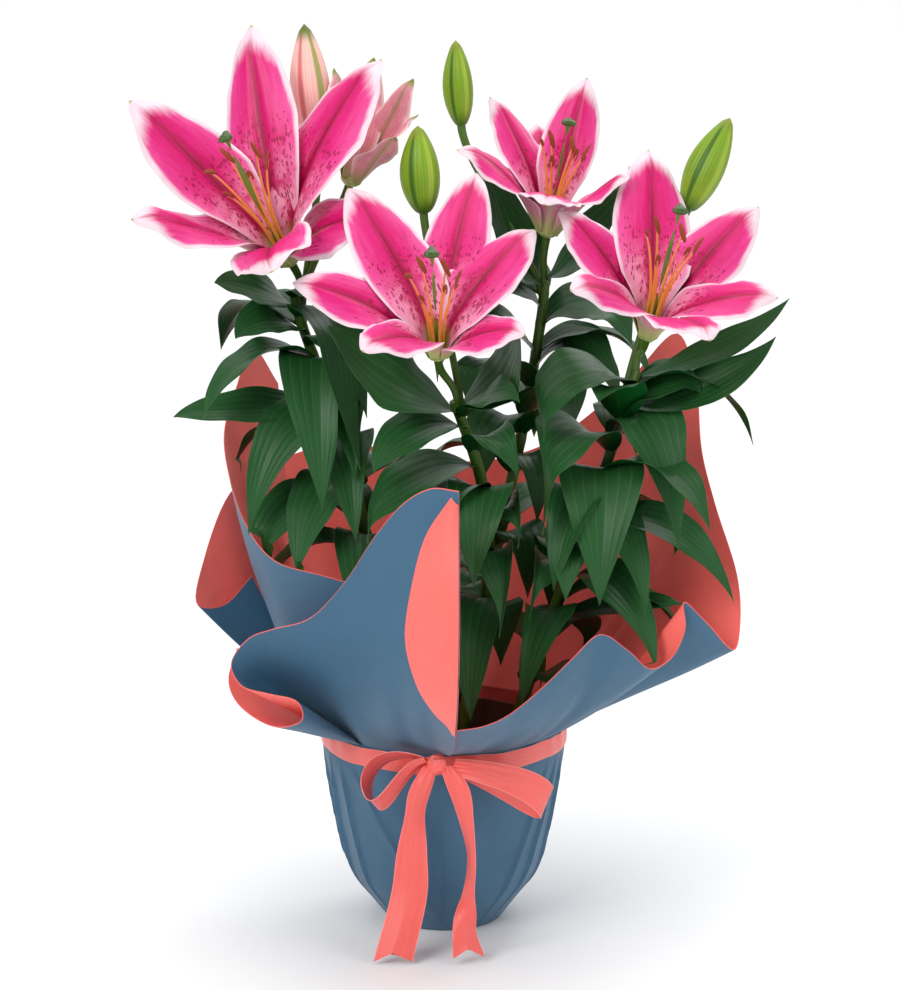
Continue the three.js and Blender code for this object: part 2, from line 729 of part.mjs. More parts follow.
// A tepal's middle surface: its claw climbs out of the receptacle beside the axis, its blade
// follows a circle round the axis where it is low, and is grooved and waved where it is free.
function tepalRows(bloom, [x, y, z, width, bend, wave, twist], index) {
  const axis = V(...bloom.axis).normalize();
  const foot = along(V(...bloom.foot), [axis, THROAT - 2]);
  const outer = index % 2 === 1;
  const tip = V(x, y, z);
  const chord = new THREE.Vector3().subVectors(tip, foot);
  const out = chord.clone().addScaledVector(axis, -chord.dot(axis)).normalize();
  const across = new THREE.Vector3().crossVectors(axis, out);
  const start = along(foot, [out, outer ? 6.9 : 5.7]);
  const length = tip.distanceTo(start);
  const lean = (angle) => along(V(0, 0, 0), [axis, Math.cos(angle)], [out, Math.sin(angle)]);
  const chordAngle = axis.angleTo(new THREE.Vector3().subVectors(tip, start));
  const clawAngle = THREE.MathUtils.degToRad(CLAW_TILT);
  const tipAngle = chordAngle + bend * (chordAngle - clawAngle);
  const rib = bezier(
    start,
    along(start, [lean(clawAngle), 0.36 * length]),
    along(tip, [lean(tipAngle), -0.36 * length]),
    tip,
  );
  const rows = [];
  for (const t of TEPAL_SHARES) {
    const middle = rib.getPoint(t);
    const level = new THREE.Vector3().subVectors(middle, foot).dot(axis);
    const heart = along(foot, [axis, level]);
    const rho = middle.distanceTo(heart);
    const forward = rib.getTangent(t);
    const free = smooth(0.3, 0.85, t);
    const side = across.clone().applyAxisAngle(forward, THREE.MathUtils.degToRad(twist * free));
    const inward = new THREE.Vector3().crossVectors(forward, side).normalize();
    const full = Math.max(CLAW_WIDTH, width * tepalWidth(t)) / 2;
    const half = Math.min(full, 0.9 * rho);
    const behind = LAYER * (outer ? -1 : 1) * smooth(0, 0.2, t);
    const row = [];
    for (let j = 0; j <= bloom.across; j++) {
      const s = (2 * j) / bloom.across - 1;
      const angle = (s * half) / rho;
      const round = along(heart, [out, rho * Math.cos(angle)], [across, rho * Math.sin(angle)]);
      const flat = along(middle, [side, s * half]);
      const groove = s === 0 ? -0.06 * half : 0;
      const reflex = -0.3 * half * s * s * smooth(0.3, 0.8, t);
      const swell = s * s * Math.sin(Math.PI * t);
      const ripple = 3 * wave * swell * Math.sin(8 * t + 2.1 * index + 1.3 * s);
      row.push(along(round.lerp(flat, free), [inward, behind + groove + reflex + ripple]));
    }
    rows.push(row);
  }
  return rows;
}

// A bloom's own frame: a point at a height up its spine, and a distance out at an angle. The spine
// starts along the axis and ends at the stigma, or stays straight where there is none.
function inBloom(bloom, angle, out, height) {
  const axis = V(...bloom.axis).normalize();
  const foot = V(...bloom.foot);
  const u = new THREE.Vector3().crossVectors(axis, V(1, 0, 0)).normalize();
  const v = new THREE.Vector3().crossVectors(axis, u);
  const spread = [
    [u, out * Math.cos(angle)],
    [v, out * Math.sin(angle)],
  ];
  if (!bloom.stigma || height <= THROAT) return along(foot, [axis, height], ...spread);
  const start = along(foot, [axis, THROAT]);
  const end = V(...bloom.stigma);
  const length = start.distanceTo(end);
  const spine = new THREE.QuadraticBezierCurve3(start, along(start, [axis, length * 0.55]), end);
  return along(spine.getPoint(Math.min(1, (height - THROAT) / length)), ...spread);
}

function turned(bloom, profile, sides) {
  return loft(
    profile.map(([r, height]) =>
      Array.from({ length: sides }, (_, k) => inBloom(bloom, (2 * Math.PI * k) / sides, r, height)),
    ),
  );
}

function tepals(bloom) {
  const profile = [[3.6, 0], [FOOT_RADIUS, THROAT * 0.5], [FOOT_RADIUS, THROAT]];
  const receptacle = turned({ ...bloom, stigma: null }, profile, 8);
  const petals = bloom.tepals.map((t, i) => blade(tepalRows(bloom, t, i), PETAL_THICKNESS));
  return fuse([receptacle, ...petals]);
}

// The pistil, an ovary with a long style and a broad stigma, and six stamens that stand round it
// on one foot. Each stamen is a slim filament that ends in a swollen anther.
function pistilAndStamens(bloom) {
  const h = V(...bloom.stigma).distanceTo(V(...bloom.foot));
  const foot = THROAT + FIT;
  const profile = [
    [4.2, foot],
    [4.2, foot + 2],
    [2.5, foot + 3],
    [2.3, foot + 18],
    [1.2, foot + 24],
    [1.2, h - 6],
    [4.0, h - 2],
    [3.4, h],
  ];
  const parts = [turned(bloom, profile, 6)];
  for (let k = 0; k < 6; k++) {
    const angle = (Math.PI / 3) * (k + 0.5);
    const top = h * (0.8 + 0.05 * Math.sin(2.4 * k));
    const spread = h * 0.19;
    const line = [
      [3.1, foot + 0.6, 1.2],
      [6, top * 0.45, 1.1],
      [spread * 0.76, top - 14, 1],
      [spread * 0.9, top - 8, 2.3],
    ].map(([out, height, r]) =>
      [0, 1, 2].map((n) =>
        along(
          inBloom(bloom, angle, out, height),
          [inBloom(bloom, angle + 2.1 * n, 1, 0).sub(inBloom(bloom, 0, 0, 0)), r],
        ),
      ),
    );
    parts.push(loft([...line, [inBloom(bloom, angle, spread * 1.08, top)]]));
  }
  return fuse(parts);
}

// Buds: [foot, tip, greatest radius]
const BUDS = {
  tall: { stem: "back", foot: [12, 50, 560], tip: [8, 50, 619], radius: 11.2, colour: "bud" },
  middle: { stem: "centre", foot: [-14, 10, 504], tip: [-18, 12, 564], radius: 14.6, colour: "bud" },
  right: { stem: "right", foot: [169, 28, 504], tip: [198, 34, 567], radius: 14.2, colour: "bud" },
  blush: { stem: "left", foot: [-88, 50, 543], tip: [-97, 54, 630], radius: 15, colour: "blush" },
};

// A bud is six tepals shut to a three-ridged spindle with a blunt tip.
function bud({ foot, tip, radius }) {
  const start = V(...foot);
  const axis = V(...tip).sub(start);
  const length = axis.length();
  axis.normalize();
  const u = new THREE.Vector3().crossVectors(axis, V(0, 1, 0)).normalize();
  const v = new THREE.Vector3().crossVectors(axis, u);
  const sides = 9;
  const shares = [0, 0.1, 0.32, 0.6, 0.86, 1];
  const swell = (t) => 0.24 + 0.78 * Math.pow(Math.sin(Math.PI * Math.pow(t, 0.9)), 0.75) - 0.16 * t;
  return loft(
    shares.map((t) =>
      Array.from({ length: sides }, (_, k) => {
        const angle = (2 * Math.PI * k) / sides;
        const r = radius * swell(t) * (1 + 0.07 * Math.cos(3 * angle));
        return along(start, [axis, t * length], [u, r * Math.cos(angle)], [v, r * Math.sin(angle)]);
      }),
    ),
  );
}

// Flower stalks: [stem, height where it leaves, way points..., bloom or bud that it carries]
const STALK_RADIUS = 2.5;

function stalkTo(stem, height, end, direction, reach) {
  const foot = stemAt(stem, height);
  const arrival = V(...direction).normalize();
  const line = bezier(foot, along(foot, [UP, reach * 0.5]), along(end, [arrival, -reach * 0.5]), end);
  return tube(line, (t) => lerp(STALK_RADIUS, 3.1, Math.pow(t, 4)), 4, 5);
}

function budStalk(key, height) {
  const { stem, foot, tip } = BUDS[key];
  const axis = V(...tip).sub(V(...foot)).normalize();
  return stalkTo(stem, height, along(V(...foot), [axis, -FIT]), axis.toArray(), 60);
}

function bloomStalk(key, stem, height) {
  const { foot, axis } = BLOOMS[key];
  const direction = V(...axis).normalize();
  return stalkTo(stem, height, along(V(...foot), [direction, -FIT]), axis, 46);
}

const STALKS = {
  left: () => [
    bloomStalk("left", "left", 440),
    budStalk("blush", 428),
    bloomStalk("opening", "left", 434),
  ],
  centre: () => [bloomStalk("centre", "centre", 378), budStalk("middle", 370)],
  right: () => [bloomStalk("right", "right", 396), budStalk("right", 364)],
  back: () => [bloomStalk("back", "back", 443), budStalk("tall", 434)],
};

const stemLine = (name) =>
  new THREE.CatmullRomCurve3(STEMS[name].slice(0, -1).map((p) => V(...p)));
const STEM_STEPS = 8;
const STEM_SIDES = 6;
const stemTaper = (t) => lerp(STEM_FOOT_RADIUS, STEM_TOP_RADIUS, t);

function leafyStem(name) {
  const main = tube(stemLine(name), stemTaper, STEM_STEPS, STEM_SIDES);
  const shares = name === "back" ? FAR_LEAF_SHARES : LEAF_SHARES;
  const placed = PLACED_LEAVES.filter((leaf) => leaf[0] === name).map((leaf) => leafRows(leaf, shares));
  const hidden = spiralLeaves(name).map((leaf) => leafRows(leaf, FAR_LEAF_SHARES));
  const leaves = [...placed, ...hidden].map((rows) => blade(rows, LEAF_THICKNESS));
  return fuse([main, ...STALKS[name](), ...leaves]);
}

// Wrapped pot: outlines of the paper, the pot and the soil as [radius, height], bottom to top

const COVER_SIDES = 22;
const COVER = [
  [0, 0],
  [42, 0],
  [52, 14],
  [66, 34],
  [76, 70],
  [82.6, 108],
  [GATHER_RADIUS, 131],
  [GATHER_RADIUS, TIE_LEVEL],
];
const COVER_INSIDE = [
  [0, PAPER],
  [41.4, PAPER],
  [51, 15],
  [64.6, 34.8],
  [74.4, 70],
  [81.4, 110],
  [83, 129],
  [83, TIE_LEVEL + 9],
];
const POT_OUTLINE = [
  [0, 1.5],
  [41, 1.5],
  [50.4, 15.4],
  [64, 35],
  [73.4, 70],
  [81.6, 136],
];
const POT_INSIDE = [
  [79.8, 136],
  [71.6, 70],
  [62.2, 36],
  [49, 17.4],
  [40.4, 3.5],
  [0, 3.5],
];

// Pleats: every few segments the paper is folded outward a little, more so towards the tie.
const PLEATS = [0.2, 0, 0.9, 0.1, 0, 0.5];

function lathed(profile, sides, swell) {
  const rings = profile.map(([r, z]) =>
    r === 0
      ? [V(0, 0, z)]
      : Array.from({ length: sides }, (_, k) => {
          const angle = (2 * Math.PI * k) / sides;
          const out = r + (swell ? swell(k, r, z) : 0);
          return V(out * Math.sin(angle), -out * Math.cos(angle), z);
        }),
  );
  return loft(rings);
}

function cover() {
  const pleat = (k, r, z) =>
    r > 0 ? 2 * PLEATS[k % PLEATS.length] * smooth(10, 60, z) * (1 - smooth(100, 126, z)) : 0;
  const body = lathed(COVER, COVER_SIDES, pleat);
  const hollow = lathed(COVER_INSIDE, COVER_SIDES);
  return body.subtract(hollow);
}

function flapRows(crease) {
  const curve = new THREE.CatmullRomCurve3(crease);
  const edge = new THREE.CatmullRomCurve3(FLAP_EDGE.map((p) => V(...p)));
  return [0, 0.2, 0.4, 0.6, 0.8, 1].map((t) => {
    const root = curve.getPoint(lerp(0.29, 0.97, t)).add(V(-0.6, -0.4, 0));
    const free = edge.getPoint(t);
    const middle = root.clone().lerp(free, 0.45).add(V(0, -3, 0));
    return [root, middle, free];
  });
}

// A sheet that is built strip by strip between its rows, so that its folds may touch.
function foldedSheet(rows, thickness) {
  const faces = [1, -1].map((way) =>
    rows.map((row, i) => row.map((p, j) => along(p, [gridNormal(rows, i, j), (way * thickness) / 2]))),
  );
  const strips = rows.slice(1).map((_, i) => {
    const ring = (k) => [...faces[0][k], ...[...faces[1][k]].reverse()];
    return slab(ring(i), ring(i + 1));
  });
  return strips.reduce((a, b) => a.add(b));
}

// A strip between two thin closed outlines that run up one face of the sheet and down the other.
function slab(near, far) {
  const n = near.length;
  const m = n / 2;
  const triangles = [];
  for (let k = 0; k < n; k++) {
    const next = (k + 1) % n;
    if (k < m) triangles.push(k, next, n + k, next, n + next, n + k);
    else triangles.push(k, next, n + next, k, n + next, n + k);
  }
  for (let k = 0; k < m - 1; k++) {
    const [a, b, c, d] = [k, k + 1, n - 2 - k, n - 1 - k];
    triangles.push(a, c, b, a, d, c, n + a, n + b, n + c, n + a, n + c, n + d);
  }
  return solid(geometry([...near, ...far], triangles));
}

function collar() {
  return [...collarRibs, flapRows(collarRibs[1][0])].map((rows) => foldedSheet(rows, PAPER));
}

const POT_SIDES = 16;
const SOIL = [
  [0, 3.8],
  [40, 3.8],
  [48.6, 17.8],
  [61.6, 36.4],
  [71, 70],
  [76, SOIL_LEVEL - 4],
  [50, SOIL_LEVEL + 2],
  [0, SOIL_LEVEL],
];
const BULB = [
  [0, -34],
  [9, -32],
  [17.5, -20],
  [15.5, -9],
  [6, -0.9],
  [0, -0.9],
];
const BULB_SIDES = 8;

const pot = () => lathed([...POT_OUTLINE, ...POT_INSIDE], POT_SIDES);

function bulb(name, fit) {
  const [x, y, z] = STEMS[name][0];
  const profile = BULB.map(([r, height], i) => [
    r === 0 ? 0 : r + fit,
    z + height + (i < 2 ? -fit : i > 3 ? fit : 0),
  ]);
  return lathed(profile, BULB_SIDES).translate(x, y, 0);
}

// The soil fills the pot, with a hollow round each bulb and a plain hole for each stem.
function soil() {
  const holes = Object.keys(STEMS).flatMap((name) => [
    bulb(name, 2 * FIT),
    tube(stemLine(name), (t) => stemTaper(t) + 0.45, STEM_STEPS, STEM_SIDES),
    tube(new THREE.LineCurve3(along(V(...STEMS[name][0]), [UP, -6]), V(...STEMS[name][0])), () => 5, 1, 6),
  ]);
  return fuse([lathed(SOIL, POT_SIDES).subtract(holes.reduce((a, b) => a.add(b)))]);
}

// Ribbon: a band round the tie, and a bow with two loops and two tails

function band() {
  const r = GATHER_RADIUS + FIT;
  const [low, high] = [TIE_LEVEL - 1.8 - BAND_WIDTH, TIE_LEVEL - 1.8];
  const disc = (radius, bottom, top) =>
    lathed([[0, bottom], [radius, bottom], [radius, top], [0, top]], COVER_SIDES);
  return disc(r + RIBBON, low, high).subtract(disc(r, low - 1, high + 1));
}

const KNOT = [-5, -105.4, 144];

// A loop leaves the knot, turns at its far end and comes back behind. It arches up on its way out,
// its two halves part by twice the opening, the near one higher by the rise, and its ribbon leans.
function bowLoop({ angle, length, arch, opening, rise, lean }) {
  const a = THREE.MathUtils.degToRad(angle);
  const turn = THREE.MathUtils.degToRad(lean);
  const out = V(Math.cos(a), 0, Math.sin(a));
  const upright = V(-Math.sin(a), 0, Math.cos(a)).multiplyScalar(Math.cos(a) < 0 ? -1 : 1);
  const front = V(0, -1, 0);
  const broad = along(V(0, 0, 0), [upright, Math.cos(turn)], [front, Math.sin(turn)]);
  const apart = along(V(0, 0, 0), [front, Math.cos(turn)], [upright, -Math.sin(turn)]);
  const rows = [];
  for (let i = 0; i <= 13; i++) {
    const t = 0.03 + (0.94 * i) / 13;
    const reach = Math.pow(Math.sin(Math.PI * t), 0.8);
    const swing = Math.sin(2 * Math.PI * t) * Math.sqrt(Math.sin(Math.PI * t));
    const middle = along(
      V(...KNOT),
      [out, length * reach],
      [apart, opening * swing],
      [UP, rise * swing + 4 * arch * reach * (1 - reach)],
    );
    const half = (BOW_WIDTH / 2) * (0.3 + 0.7 * Math.pow(Math.sin(Math.PI * t), 0.6));
    rows.push([along(middle, [broad, -half]), along(middle, [broad, half])]);
  }
  return sheet(rows, RIBBON);
}

const LOOPS = [
  { angle: -20, length: 80, arch: 4, opening: 12, rise: 11, lean: 8 },
  { angle: 208, length: 52, arch: 12, opening: 13, rise: 0, lean: 52 },
];
// Tails: [x, y, z, width, turn about the upright in degrees], from the knot to the notched end
const TAILS = [
  [
    [-9, -107, 143, 9, 0],
    [-16, -108, 126, 17, 25],
    [-20, -106, 106, 16, 30],
    [-22, -104, 78, 21, 5],
    [-24, -104, 48, 25, -8],
    [-35, -109, 2, 27, 0],
  ],
  [
    [2, -107, 143, 9, 0],
    [10, -109, 127, 17, -25],
    [15, -107, 104, 15, -45],
    [19, -104, 75, 13, -64],
    [17, -104, 48, 13, -50],
    [14, -105, 24, 17, 20],
    [17, -109, 5, 22, 10],
  ],
];
const NOTCH = 7;

function bowTail(points) {
  const rows = points.map(([x, y, z, width, turn], i) => {
    const a = THREE.MathUtils.degToRad(turn);
    const side = V(Math.cos(a), Math.sin(a), 0);
    const middle = V(x, y, z);
    const notch = i === points.length - 1 ? NOTCH : 0;
    return [-1, 0, 1].map((s) =>
      along(middle, [side, (s * width) / 2], [UP, notch * (1 - s * s)], [V(0, 1, 0), 1.5 * s * s]),
    );
  });
  return sheet(rows, RIBBON);
}

function knot() {
  const rings = [[-6.5, 4], [-4.5, 6], [0, 6.4], [4.5, 6], [6.5, 4]];
  return loft(
    rings.map(([x, r]) =>
      Array.from({ length: 8 }, (_, k) => {
        const angle = (Math.PI / 4) * k;
        return V(KNOT[0] + x, KNOT[1] + 0.75 * r * Math.cos(angle), KNOT[2] + r * Math.sin(angle));
      }),
    ),
  );
}

const bow = () => fuse([knot(), ...LOOPS.map(bowLoop), ...TAILS.map(bowTail)]);

// The nodes

for (const name of Object.keys(STEMS)) addNode(`leafy_stem_${name}`, "leaf", leafyStem(name));
for (const [name, bloom] of Object.entries(BLOOMS)) {
  const colour = name === "opening" ? "blush" : "petal";
  addNode(`bloom_${name}_tepals`, colour, tepals(bloom));
  if (name === "opening") continue;
  addNode(`bloom_${name}_pistil_and_stamens`, "stamen", pistilAndStamens(bloom));
}
for (const [name, made] of Object.entries(BUDS)) addNode(`bud_${name}`, made.colour, bud(made));

addNode("wrap", "paper", fuse([cover(), ...collar()]));
addNode("pot", "pot", pot());
addNode("soil", "soil", soil());
for (const name of Object.keys(STEMS)) addNode(`bulb_${name}`, "bulb", bulb(name, 0));
addNode("ribbon_band", "ribbon", band());
addNode("ribbon_bow", "ribbon", bow());

export default root;
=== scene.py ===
import math

import bmesh
import bpy
import numpy as np
from mathutils import Matrix


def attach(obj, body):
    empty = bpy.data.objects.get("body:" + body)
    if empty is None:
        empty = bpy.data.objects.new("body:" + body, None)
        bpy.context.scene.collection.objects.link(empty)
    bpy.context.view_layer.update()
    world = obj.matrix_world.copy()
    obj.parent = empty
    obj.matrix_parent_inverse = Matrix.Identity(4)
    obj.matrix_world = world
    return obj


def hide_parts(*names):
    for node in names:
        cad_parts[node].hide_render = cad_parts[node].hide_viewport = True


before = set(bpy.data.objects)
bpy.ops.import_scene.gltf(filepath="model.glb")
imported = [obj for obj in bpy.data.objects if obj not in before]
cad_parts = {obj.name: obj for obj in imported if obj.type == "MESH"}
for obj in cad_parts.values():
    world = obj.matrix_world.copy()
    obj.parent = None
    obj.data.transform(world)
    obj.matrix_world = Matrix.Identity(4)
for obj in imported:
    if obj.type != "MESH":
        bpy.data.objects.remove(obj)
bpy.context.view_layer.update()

# The growing pot. A thin brown plastic pot, injection moulded, that the bulbs were planted in.
# It stands unseen inside the paper, so its solid stays and only takes its finish.


class Wire:
    """A number, colour or place on its way through a shader tree: one output of a node. The signs of
    arithmetic on wires put in the math nodes that work them out."""

    def __init__(self, output):
        self.output, self.tree = output, output.id_data

    def __getitem__(self, key):
        return Wire(self.output.node.outputs[key])

    def maths(self, operation, other=0.0, clamp=False):
        return put("ShaderNodeMath", {0: self, 1: other}, operation=operation, use_clamp=clamp)

    def __add__(self, other):
        return self.maths("ADD", other)

    def __sub__(self, other):
        return self.maths("SUBTRACT", other)

    def __mul__(self, other):
        return self.maths("MULTIPLY", other)

    def __abs__(self):
        return self.maths("ABSOLUTE")


def put(kind, inputs=None, tree=None, **settings):
    """A shader node with its settings, in the tree of the wires that feed it; an input that no wire
    feeds gets a plain value. Its first output comes back as a wire."""
    inputs = inputs or {}
    tree = tree or next(value.tree for value in inputs.values() if isinstance(value, Wire))
    made = tree.nodes.new(kind)
    for key, value in settings.items():
        setattr(made, key, value)
    for key, value in inputs.items():
        if isinstance(value, Wire):
            tree.links.new(value.output, made.inputs[key])
        else:
            made.inputs[key].default_value = value
    return Wire(made.outputs[0])


def feed(node, **wires):
    """Leads wires into a node's inputs; an input's name has _ for its spaces."""
    for key, wire in wires.items():
        wire.tree.links.new(wire.output, node.inputs[key.replace("_", " ")])


def material(name, roughness, **inputs):
    """A named material and its Principled BSDF, whose inputs get plain values."""
    made = bpy.data.materials.new(name)
    made.use_nodes = True
    shader = made.node_tree.nodes["Principled BSDF"]
    shader.inputs["Roughness"].default_value = roughness
    for key, value in inputs.items():
        shader.inputs[key.replace("_", " ")].default_value = value
    return made, shader


def object_place(shader):
    """The Object coordinates of what a shader paints."""
    return put("ShaderNodeTexCoord", tree=shader.id_data)["Object"]


def step_up(value, low, high):
    """Goes smoothly from 0 to 1 while the value goes from low to high."""
    inputs = {"Value": value, "From Min": low, "From Max": high}
    return put("ShaderNodeMapRange", inputs, interpolation_type="SMOOTHSTEP")


def screen(red, green, blue):
    """A colour as a screen shows it, 0 to 255, made linear: the 2.4 power of its shifted share."""
    share = np.array([red, green, blue]) / 255
    linear = np.where(share <= 0.04045, share / 12.92, ((share + 0.055) / 1.055) ** 2.4)
    return (*linear.tolist(), 1.0)


def mixed(share, low, high):
    """A colour that goes from low to high as the share goes from 0 to 1. Each is a wire or a colour
    as a screen shows it."""
    low, high = (screen(*colour) if isinstance(colour, tuple) else colour for colour in (low, high))
    return put("ShaderNodeMix", {0: share, 6: low, 7: high}, data_type="RGBA")[2]


def noise(place, scale, detail=3.0):
    """Soft random cloud of that many lumps to a unit of the place."""
    return put("ShaderNodeTexNoise", {"Vector": place, "Scale": scale, "Detail": detail})


def raise_by(shader, height, distance, strength=1.0):
    """Lets a height stand out of the surface by that distance in metres."""
    inputs = {"Strength": strength, "Distance": distance, "Height": height}
    feed(shader, Normal=put("ShaderNodeBump", inputs))


def mottled(name, roughness, lumps, deep, pale, detail=3.0):
    """A material mottled between two colours by a noise over its Object coordinates; its shader and
    the noise come back too."""
    made, shader = material(name, roughness)
    cloud = noise(object_place(shader), lumps, detail)
    feed(shader, Base_Color=mixed(cloud, deep, pale))
    return made, shader, cloud


def finish_node(name, finish):
    """Gives a solid that stays as it is another material."""
    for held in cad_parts[name].material_slots:
        held.material = finish


plastic, shader, cloud = mottled("moulded brown plastic", 0.5, 60, (78, 52, 38), (102, 70, 52))
raise_by(shader, noise(object_place(shader), 900, 2.0), 0.0002, 0.4)
finish_node("pot", plastic)

# The soil. Dark peat with bark crumbs that fills the pot to three fingers under its rim; each stem
# comes up through it. The crumbs are raised from its top by the formula below.


def wander(a, b, seed, waves=7, finest=3.0):
    """A smooth random field of two parameters: a sum of sines with seeded directions and phases,
    each finer and weaker than the last; it stays roughly between -1 and 1."""
    draw = np.random.default_rng(seed)
    total = np.zeros(np.broadcast(a, b).shape)
    for k in range(waves):
        turn, phase = draw.uniform(0, 6.283, 3)[:2]
        pitch = 1 + finest * k / waves
        total += np.sin(pitch * (a * np.cos(turn) + b * np.sin(turn)) + phase) / (1 + 0.4 * k)
    return total / 2.2


def unit(v):
    """Each vector divided by its length."""
    return v / np.maximum(np.linalg.norm(v, axis=-1, keepdims=True), 1e-9)


def piece(name, skins, finishes, slot, *nodes, crease=50):
    """One object made of closed skins. A skin is rings of points in millimetres, each ring joined to
    the next by quads and the two end rings capped. With its rings it carries the place on it (across
    0 to 1, along 0 to 1, 1 on the upper face and 0 on the lower), the flat place in millimetres
    with a random number, and which of the finishes it takes."""
    points, faces, kinds, places, flats, start = [], [], [], [], [], 0
    for rings, place, flat, kind in skins:
        n, m = rings.shape[:2]
        index = start + np.arange(n * m).reshape(n, m)
        beside = np.roll(index, -1, axis=1)
        quads = np.stack([index[:-1], beside[:-1], beside[1:], index[1:]], -1).reshape(-1, 4)
        faces += quads.tolist() + [index[0][::-1].tolist(), index[-1].tolist()]
        kinds += [kind] * (len(quads) + 2)
        points.append(rings.reshape(-1, 3))
        places.append(np.broadcast_to(place, rings.shape).reshape(-1, 3))
        flats.append(np.broadcast_to(flat, rings.shape).reshape(-1, 3))
        start += n * m
    mesh = bpy.data.meshes.new(name)
    mesh.from_pydata((np.concatenate(points) * 0.001).tolist(), [], faces)
    for finish in finishes:
        mesh.materials.append(finish)
    mesh.polygons.foreach_set("material_index", kinds)
    for key, values in (("place", places), ("flat", flats)):
        held = mesh.attributes.new(key, "FLOAT_VECTOR", "POINT")
        held.data.foreach_set("vector", np.concatenate(values).astype(np.float32).ravel())
    shell = bmesh.new()
    shell.from_mesh(mesh)
    bmesh.ops.recalc_face_normals(shell, faces=shell.faces)
    shell.to_mesh(mesh)
    shell.free()
    corner = np.empty(len(mesh.loops), np.int32)
    mesh.loops.foreach_get("vertex_index", corner)
    around = mesh.uv_layers.new(name="UVMap")
    around.data.foreach_set("uv", np.concatenate(places)[corner, :2].astype(np.float32).ravel())
    mesh.shade_smooth()
    mesh.set_sharp_from_angle(angle=math.radians(crease))
    made = bpy.data.objects.new(name, mesh)
    bpy.context.scene.collection.objects.link(made)
    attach(made, "root")
    if nodes:
        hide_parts(*nodes)
    return made


def joined(*parts):
    """Arrays spread over each other and put together as the numbers of one array of points."""
    return np.stack(np.broadcast_arrays(*parts), -1)


def turn_in(steps):
    """Even angles once round, as a row."""
    return np.linspace(0, 2 * np.pi, steps, endpoint=False)[None]


def round_place(angle, along):
    """The place on a round skin: the share of the turn, how far along, and 1 for the outside."""
    return joined(angle / 6.2832, along, 1.0)


def turned_skin(profile, sides, swell=None):
    """A profile of radius and height turned round the upright: rings of points at even angles, each
    moved out by swell(angle, height)."""
    profile = np.array(profile, float)
    angle = turn_in(sides)
    radius, height = profile[:, :1], profile[:, 1:]
    if swell is not None:
        radius = radius + swell(angle, height) * np.minimum(1, radius / 20)
    rings = joined(radius * np.sin(angle), -radius * np.cos(angle), height)
    return rings, round_place(angle, np.linspace(0, 1, len(profile))[:, None]), rings, 0


SOIL_LEVEL = 116
SOIL_RADIUS = 76
SOIL_FOOT = [[1, 3.8], [40, 3.8], [48.6, 17.8], [61.6, 36.4], [71, 70]]
CRUMB_HEIGHT = 1.6
peat, shader = material("damp peat", 0.95)
place = object_place(shader)
crumb = put("ShaderNodeTexVoronoi", {"Vector": place, "Scale": 260.0})
grit = noise(place, 500, 6.0)
brown = mixed(crumb["Color"], (26, 17, 12), (66, 46, 32))
feed(shader, Base_Color=mixed(step_up(grit, 0.62, 0.7), brown, (104, 82, 58)))
raise_by(shader, crumb["Distance"] + grit, 0.002)

radii = np.linspace(SOIL_RADIUS, 1, 90)
levels = np.interp(radii, [0, 50, SOIL_RADIUS], [SOIL_LEVEL, SOIL_LEVEL + 2, SOIL_LEVEL - 4])
soil = turned_skin(np.concatenate([SOIL_FOOT, joined(radii, levels)]), 160)
x, y, z = np.moveaxis(soil[0], -1, 0)
free = np.clip((z - 105) / 8, 0, 1) * np.clip((SOIL_RADIUS - np.hypot(x, y)) / 3, 0, 1)
z += CRUMB_HEIGHT * wander(x * 0.35, y * 0.35, 4, 9, 4.0) * free
piece("soil_crumbs", [soil], [peat], "soil", "soil")

# The bulbs. Cream lily bulbs of fleshy overlapping scales, one in the soil under each stem.
# They lie unseen in the soil, so their solids stay and take the look of the scales.

scaly, shader = material("cream bulb scales", 0.6)
scale = put("ShaderNodeTexVoronoi", {"Vector": object_place(shader), "Scale": 110.0})["Distance"]
feed(shader, Base_Color=mixed(scale, (236, 226, 190), (176, 140, 112)))
raise_by(shader, scale, 0.002)
for name in ("left", "centre", "right", "back"):
    finish_node(f"bulb_{name}", scaly)

# The wrapping paper. Matt florist's paper, slate blue outside and coral inside, drawn up round the
# pot in pleats, gathered at the ribbon and opened out above it as a loose folded collar.

PAPER = 0.6
TIE_LEVEL = 145
COLLAR_ROWS = 34
COLUMNS_BETWEEN = 7
OUTER_SHEET_RADIUS = 85.2
INNER_SHEET_RADIUS = 83.9
FIRST_SHEET = [
    [-137, 25, 242, -98, 0.02, 84], [-156, 4, 226, -93, 0.02, 84], [-173, -10, 230, -88, 0.02, 84.6],
    [-171, 28, 254, -95, 0.03, 85.6], [-155, 70, 292, -105, 0.06, 85.6], [-132, 115, 300, -122, 0.08],
    [-105, 132, 310, -136, 0.08], [-70, 145, 313, -150, 0.08], [-32, 156, 303, -165, 0.08],
    [8, 156, 297, -180, 0.08], [45, 151, 301, -193, 0.08], [82, 146, 316, -207, 0.08],
    [133, 128, 361, -222, 0.08], [169, 100, 404, -234, 0.06], [181, 78, 372, -243, 0.06],
    [184, 50, 328, -253, 0.06], [192, 25, 295, -262, 0.05], [206, -5, 250, -271, 0.04],
    [207, -25, 223, -277, 0.03], [202, -40, 206, -282, 0.02], [179, -62, 233, -288, 0.04],
    [164, -70, 248, -293, 0.06], [165, -72, 230, -296.5, 0.05], [156, -76, 211, -301, 0.04],
    [141, -88, 206, -307, 0.04], [124, -105, 224, -312, 0.08], [105, -112, 237, -317, 0.12],
    [86, -122, 223, -324, 0.14], [66, -129, 205, -332, 0.14], [44, -141, 190, -341, 0.11],
    [27, -158, 187, -350, 0.1], [9, -178, 190, -358, 0.09],
]
